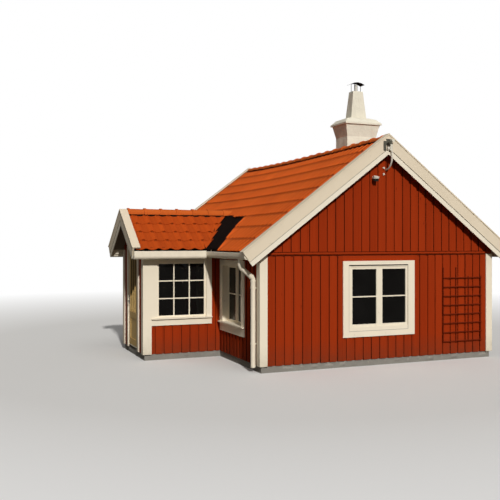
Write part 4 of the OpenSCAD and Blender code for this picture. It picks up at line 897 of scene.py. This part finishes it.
main_line = ("X", ridge_x, roof_slope, main_head - main_lap / math.cos(roof_pitch))
porch_line = ("Y", porch_y, porch_slope, porch_head - porch_lap / math.cos(porch_pitch))
repaint(white_paint("verge_white_main", *verge_colours, main_line), "front_bargeboards", "back_bargeboards")
repaint(white_paint("verge_white_porch", *verge_colours, porch_line), "porch_bargeboards")
repaint(white_paint("verge_white_caps", *verge_colours), "verge_caps")


def lap_joint_shade(along, out, lap, reach, pitch, sides):
    """Painted shade under the upper bargeboards of one gable, where they end over the lower boards: two dark
    bars from the apex to the feet, 8 mm high, that stand 2 mm before the lower boards. along is the upper
    boards' face on the ridge line, out its outward sign."""
    points = np.zeros((2, 4, 3))
    points[..., 0] = along - out * np.array([0.018, 0.008, 0.008, 0.018])
    points[..., 1] = [[lap * math.tan(pitch)], [reach]]
    points[..., 2] = -lap - lap_shade * np.array([1, 1, 0, 0])
    return [laid_at(points, *sides[side]) for side in (-1, 1)]


front_face, back_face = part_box("front_bargeboards")[0].y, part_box("back_bargeboards")[1].y
porch_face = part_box("porch_bargeboards")[0].x
main_foot = body_width / 2 / math.cos(roof_pitch) + main_verge_over
porch_foot = porch_half / math.cos(porch_pitch) + porch_verge_over
main_lines = (main_lap, main_foot, roof_pitch, main_sides)
porch_lines = (porch_lap, porch_foot, porch_pitch, porch_sides)
laps = np.stack(lap_joint_shade(front_face - roof_near, -1, *main_lines)
                + lap_joint_shade(back_face - roof_near, 1, *main_lines)
                + lap_joint_shade(porch_face - porch_roof_near, -1, *porch_lines))
# Painted shade: a near-black finish for the strips under the upper bargeboards and round the gable windows,
# made lighter by tone.
joint_painted_shade = Finish("joint_painted_shade", Roughness=0.95, Specular_IOR_Level=0.1)
blotch = joint_painted_shade.noise(14.0, detail=4.0)
painted_shade = joint_painted_shade.blend((0.016, 0.012, 0.009), (0.34, 0.27, 0.19),
                        blotch * 0.12 + joint_painted_shade.attribute("tone") * 0.9)
joint_painted_shade.finish(painted_shade, height=blotch, depth=0.001)
make_piece("verge_joint_shades", laps, joint_painted_shade.material, "white_paint", tone=0.4)

# Eaves
# White fascia boards, half round gutters with upright sides, downpipes with swan necks, and a black drip
# sheet that hangs from under the tiles' tails into each gutter.

joinery_white = white_paint("white_paint_joinery", (0.870, 0.775, 0.610), (0.80, 0.705, 0.55),
                            (0.3, 0.3, 0.3))
repaint(joinery_white, "fascia_boards")
white_metal = mottled("white_metal", (0.74, 0.655, 0.515), (0.88, 0.79, 0.63),
                      {"scale": 9.0, "detail": 4.0, "rough": 0.6}, (0.38, 0.2), 0.0008, Roughness=0.45,
                      Specular_IOR_Level=0.3)
repaint(white_metal, "gutters", "downpipes")


def boxes(corners):
    """Plain boxes from rows of two opposite corners, as bars along X: a corner plus shares of 0 or 1 of the
    way to the other. boxes x 2 x 4 x 3."""
    one, other = np.array(corners).reshape(-1, 2, 1, 1, 3).swapaxes(0, 1)
    round_end = ((0, 0), (0, 1), (1, 1), (1, 0))
    share = np.array([[(end, deep, high) for deep, high in round_end] for end in (0, 1)])
    return one + share * (other - one)


pan_drop, under_pan, sheet_drop = 0.034, 0.012, 0.03
sheet_gap, end_gap, sheet_over, porch_gap = 0.001, 0.003, 0.02, 0.05
pan_lift = tile_top - pan_drop - under_pan
main_out = body_width / 2 + main_over + fascia_thick + sheet_gap
porch_out = porch_half + porch_over + fascia_thick + sheet_gap
main_z = side_top - (main_over + fascia_thick) * roof_slope
porch_z = porch_top - (porch_over + fascia_thick) * porch_slope
main_sheet = (main_z - sheet_drop, main_z + pan_lift / math.cos(roof_pitch))
porch_sheet = (porch_z - sheet_drop, porch_z + pan_lift / math.cos(porch_pitch))
near_end, far_end = roof_near + end_gap, roof_far - end_gap
sheets = [((ridge_x + side * main_out, near, main_sheet[0]),
           (ridge_x + side * (main_out + sheet_thick), far, main_sheet[1]))
          for side, near, far in ((1, near_end, far_end), (-1, near_end, porch_y - porch_out - porch_gap),
                                  (-1, porch_y + porch_out + porch_gap, far_end))]
sheets += [((porch_roof_near + end_gap, porch_y + side * porch_out, porch_sheet[0]),
            (ridge_x - main_out + sheet_over, porch_y + side * (porch_out + sheet_thick), porch_sheet[1]))
           for side in (-1, 1)]
make_piece("drip_sheets", boxes(sheets), black_sheet, "black_metal")

# Windows
# Casings, frames and sashes in warm white oil paint, brushed on and a little chalky, with old drawn panes
# before dark rooms: nearly black, with a slight waviness in what they mirror. Corner boards match them.

upright_white = white_paint("white_paint_upright", (0.870, 0.775, 0.610), (0.79, 0.695, 0.54),
                            (1.0, 1.0, 0.06))
repaint(upright_white, "corner_boards", "porch_corner_boards")
repaint(joinery_white, "front_back_window_frames", "side_window_frames", "window_sashes",
        "porch_window_frames", "porch_window_sashes")

# The panes' near-black colour is painted shade for the dark rooms behind them.
pane = Finish("dark_pane", Roughness=0.04, Specular_IOR_Level=0.20)
swell = pane.noise(3.5, detail=1.0)
pane.finish(pane.blend((0.0035, 0.0032, 0.003), (0.008, 0.0075, 0.007), swell), height=swell, depth=0.006,
            strength=0.4)
repaint(pane.material, "window_panes", "porch_window_panes")

joint_left, joint_right, joint_foot, joint_head = 0.668, 0.640, 0.668, 1.912
head_shade, side_shade, frame_shade, foot_shade = 0.022, 0.006, 0.003, 0.005
shade_proud, shade_deep = 0.001, 0.006


def casing_joint_shade(centre, y, out):
    """Painted shade round one gable window, along the joint between casing and frame: four thin dark bars
    1 mm proud of the casing, the one under the head widest, painted as the head's shadow."""
    left, right, under_head = centre - joint_left, centre + joint_right, joint_head - head_shade
    bars = [(left, right, under_head, joint_head), (right - side_shade, right, joint_foot, under_head),
            (left, left + frame_shade, joint_foot, under_head),
            (left, right, joint_foot - foot_shade, joint_foot)]
    return [((near, y + out * shade_proud, low), (far, y - out * shade_deep, high))
            for near, far, low, high in bars]


casing_near, casing_far = (corner.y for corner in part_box("front_back_window_frames"))
joint_shades = boxes(casing_joint_shade(ridge_x - gable_window_shift, casing_near, -1)
               + casing_joint_shade(ridge_x + gable_window_shift, casing_far, 1))
# The bars' tones make the one under the head darkest and the others lighter, painted shade that follows how
# the light falls.
make_piece("casing_joint_shades", joint_shades, joint_painted_shade.material, "white_paint", tone=np.tile([0.0, 0.5, 0.8, 0.6], 2))

# Entrance door
# A panelled and glazed leaf in ochre oil paint with three upright lights, brushed along its stiles, hung on
# steel hinges in a white frame, with a lever handle in black enamel.

repaint(joinery_white, "door_frame")
repaint(pane.material, "door_panes")
ochre = Finish("ochre_paint", Roughness=0.5, Specular_IOR_Level=0.25)
brush = ochre.noise(26.0, (1.0, 1.0, 0.07), detail=4.0, rough=0.6)
worn = ochre.noise(4.0, detail=4.0)
coated = ochre.blend((0.50, 0.31, 0.10), (0.66, 0.45, 0.17), brush * 0.6 + worn * 0.4)
ochre.finish(coated, 0.42 + brush * 0.2, brush, depth=0.0008)
repaint(ochre.material, "door_leaf")
enamel = mottled("dark_enamel", (0.015, 0.015, 0.016), (0.05, 0.048, 0.045), {"scale": 30.0, "detail": 4.0},
                 (0.28, 0.2), Roughness=0.35, Metallic=0.3)
repaint(enamel, "door_handle")
steel = mottled("hinge_steel", (0.20, 0.18, 0.16), (0.42, 0.40, 0.37), {"scale": 50.0}, (0.35, 0.3),
                Roughness=0.45, Metallic=0.9)
repaint(steel, "door_hinges")

# Chimney
# Brick under a rough lime render, white washed: a shaft that flares to a slab crown, and a tapered stack
# with a pale flue tube. Rain has washed dirt down from the crown.


def lime_coat(name, dark, light):
    """Lime render laid on by trowel: lumps a hand wide, sand in its face and faint runs of dirt."""
    coat = Finish(name, Roughness=0.94, Specular_IOR_Level=0.12)
    trowel = coat.noise(8.0, detail=4.0, rough=0.6)
    grit = coat.noise(120.0, rough=0.6)
    runs = coat.noise(7.0, (1.0, 1.0, 0.15), detail=4.0, rough=0.6).above(0.60, 0.12)
    wash = coat.blend(dark, light, trowel * 0.8 + grit * 0.4)
    dirty = coat.blend(wash, (0.42, 0.37, 0.29), runs * 0.16)
    return coat.finish(dirty, height=trowel * 2.0 + grit * 0.6, depth=0.007)


# The shaft's coat is painted lighter than that of the stack and the crown: painted light that offsets the
# shade the roof and the crown put on it.
repaint(lime_coat("lime_render", (0.78, 0.73, 0.59), (0.90, 0.86, 0.71)), "chimney_shaft")
repaint(lime_coat("lime_wash", (0.74, 0.685, 0.555), (0.85, 0.80, 0.66)), "chimney_stack", "chimney_crown")
flue_metal = mottled("pale_flue", (0.40, 0.38, 0.34), (0.74, 0.70, 0.63),
                     {"scale": 18.0, "stretch": (1.0, 1.0, 0.4), "detail": 4.0}, (0.45, 0.2), 0.001,
                     Roughness=0.55, Metallic=0.2)
repaint(flue_metal, "flue_pipe")
repaint(black_sheet, "rain_hood")

# Fittings
# A thin trellis in dark red stain, a white lamp with a dark lens under the gable, and at the apex a bracket
# with two insulators, one dark and one cream, whose white conduit runs down and back to the wall.

stain_red = mottled("trellis_stain", (0.10, 0.010, 0.002), (0.19, 0.020, 0.004), {"scale": 30.0}, depth=0.001,
                    Roughness=0.88, Specular_IOR_Level=0.06)
repaint(stain_red, "trellis")

lens_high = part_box("gable_lamp")[0].z + 0.052
lamp_white = Finish("lamp_enamel", Roughness=0.35, Specular_IOR_Level=0.3)
shell = lamp_white.blend((0.66, 0.62, 0.53), (0.84, 0.79, 0.69), lamp_white.noise(20.0))
lens = 1 - lamp_white.axis("Z").above(lens_high, 0.003)
repaint(lamp_white.finish(lamp_white.blend(shell, (0.02, 0.018, 0.016), lens)), "gable_lamp")

ceramic = Finish("insulator_glaze", Roughness=0.35, Specular_IOR_Level=0.35)
blotch = ceramic.noise(25.0)
cream = ceramic.axis("X").above(ridge_x, 0.002) * (1 - ceramic.axis("Y").above(front_face - 0.010, 0.002))
glaze = ceramic.blend((0.050, 0.048, 0.034), (0.125, 0.118, 0.088), blotch)
ceramic.finish(ceramic.blend(glaze, (0.74, 0.69, 0.57), cream), 0.30 + blotch * 0.2)
repaint(ceramic.material, "service_bracket")

plastic = mottled("white_conduit", (0.62, 0.56, 0.46), (0.82, 0.76, 0.65), {"scale": 16.0}, (0.45, 0.15),
                  Roughness=0.5, Specular_IOR_Level=0.3)
conduit_radius, fitting_radius, tube_round, bend_steps = 0.016, 0.021, 10, 6


def tube(path, radius):
    """A round tube along a path of points: each ring is a circle square to the path's direction there, its
    first radius along +X, because the path stays in an upright plane across X. 1 x path x round x 3."""
    ahead = np.gradient(path, axis=0)
    ahead /= np.linalg.norm(ahead, axis=1)[:, None]
    third = np.cross(ahead, to_right)
    third /= np.linalg.norm(third, axis=1)[:, None]
    turn = np.linspace(0, 2 * np.pi, tube_round, endpoint=False)[None, :, None]
    return (path[:, None] + radius * (np.cos(turn) * to_right + np.sin(turn) * third[:, None]))[None]


conduit_x, conduit_y, conduit_bend_z = ridge_x + 0.048, front_face - 0.030, 3.93
wall_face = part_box("front_gable_boarding")[0].y
bend = np.linspace(0, math.pi / 2, bend_steps)
bend_radius = wall_face + 0.012 - conduit_y
upright = np.array([(conduit_x, conduit_y, z) for z in (4.21, 4.10, 3.98)])
bent = np.stack([np.full(bend_steps, conduit_x), conduit_y + bend_radius * (1 - np.cos(bend)),
                 conduit_bend_z - bend_radius * np.sin(bend)], 1)
fittings = [tube(np.array([(ridge_x - 0.016, wall_face + y, z) for y in (-0.026, -0.020, 0.002)]),
                 fitting_radius) for z in (3.750, 3.632)]
bracket_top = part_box("service_bracket")[1].z - 0.03


def on_bracket(rows):
    """Boxes on the bargeboards' face from rows of left, right, foot, head and how far they stand out,
    measured from the ridge line and the bracket's top."""
    return boxes([((ridge_x + left, front_face, bracket_top + foot),
                   (ridge_x + right, front_face - out, bracket_top + head))
                  for left, right, foot, head, out in rows])


foot_boxes = on_bracket([(-0.122, -0.068, -0.190, -0.015, 0.016), (-0.068, 0.004, -0.088, -0.052, 0.010),
                         (0.002, 0.034, -0.190, -0.040, 0.040)])
clip_box = on_bracket([(-0.048, -0.008, -0.168, -0.122, 0.038)])
make_piece("bracket_foot", foot_boxes, ceramic.material, "grey_ceramic")
make_piece("bracket_clip", clip_box, plastic, "white_metal")
make_piece("service_conduit", tube(np.vstack([upright, bent]), conduit_radius), plastic, "white_metal",
           smooth=50)
make_piece("conduit_fittings", np.concatenate(fittings), plastic, "white_metal", smooth=50)
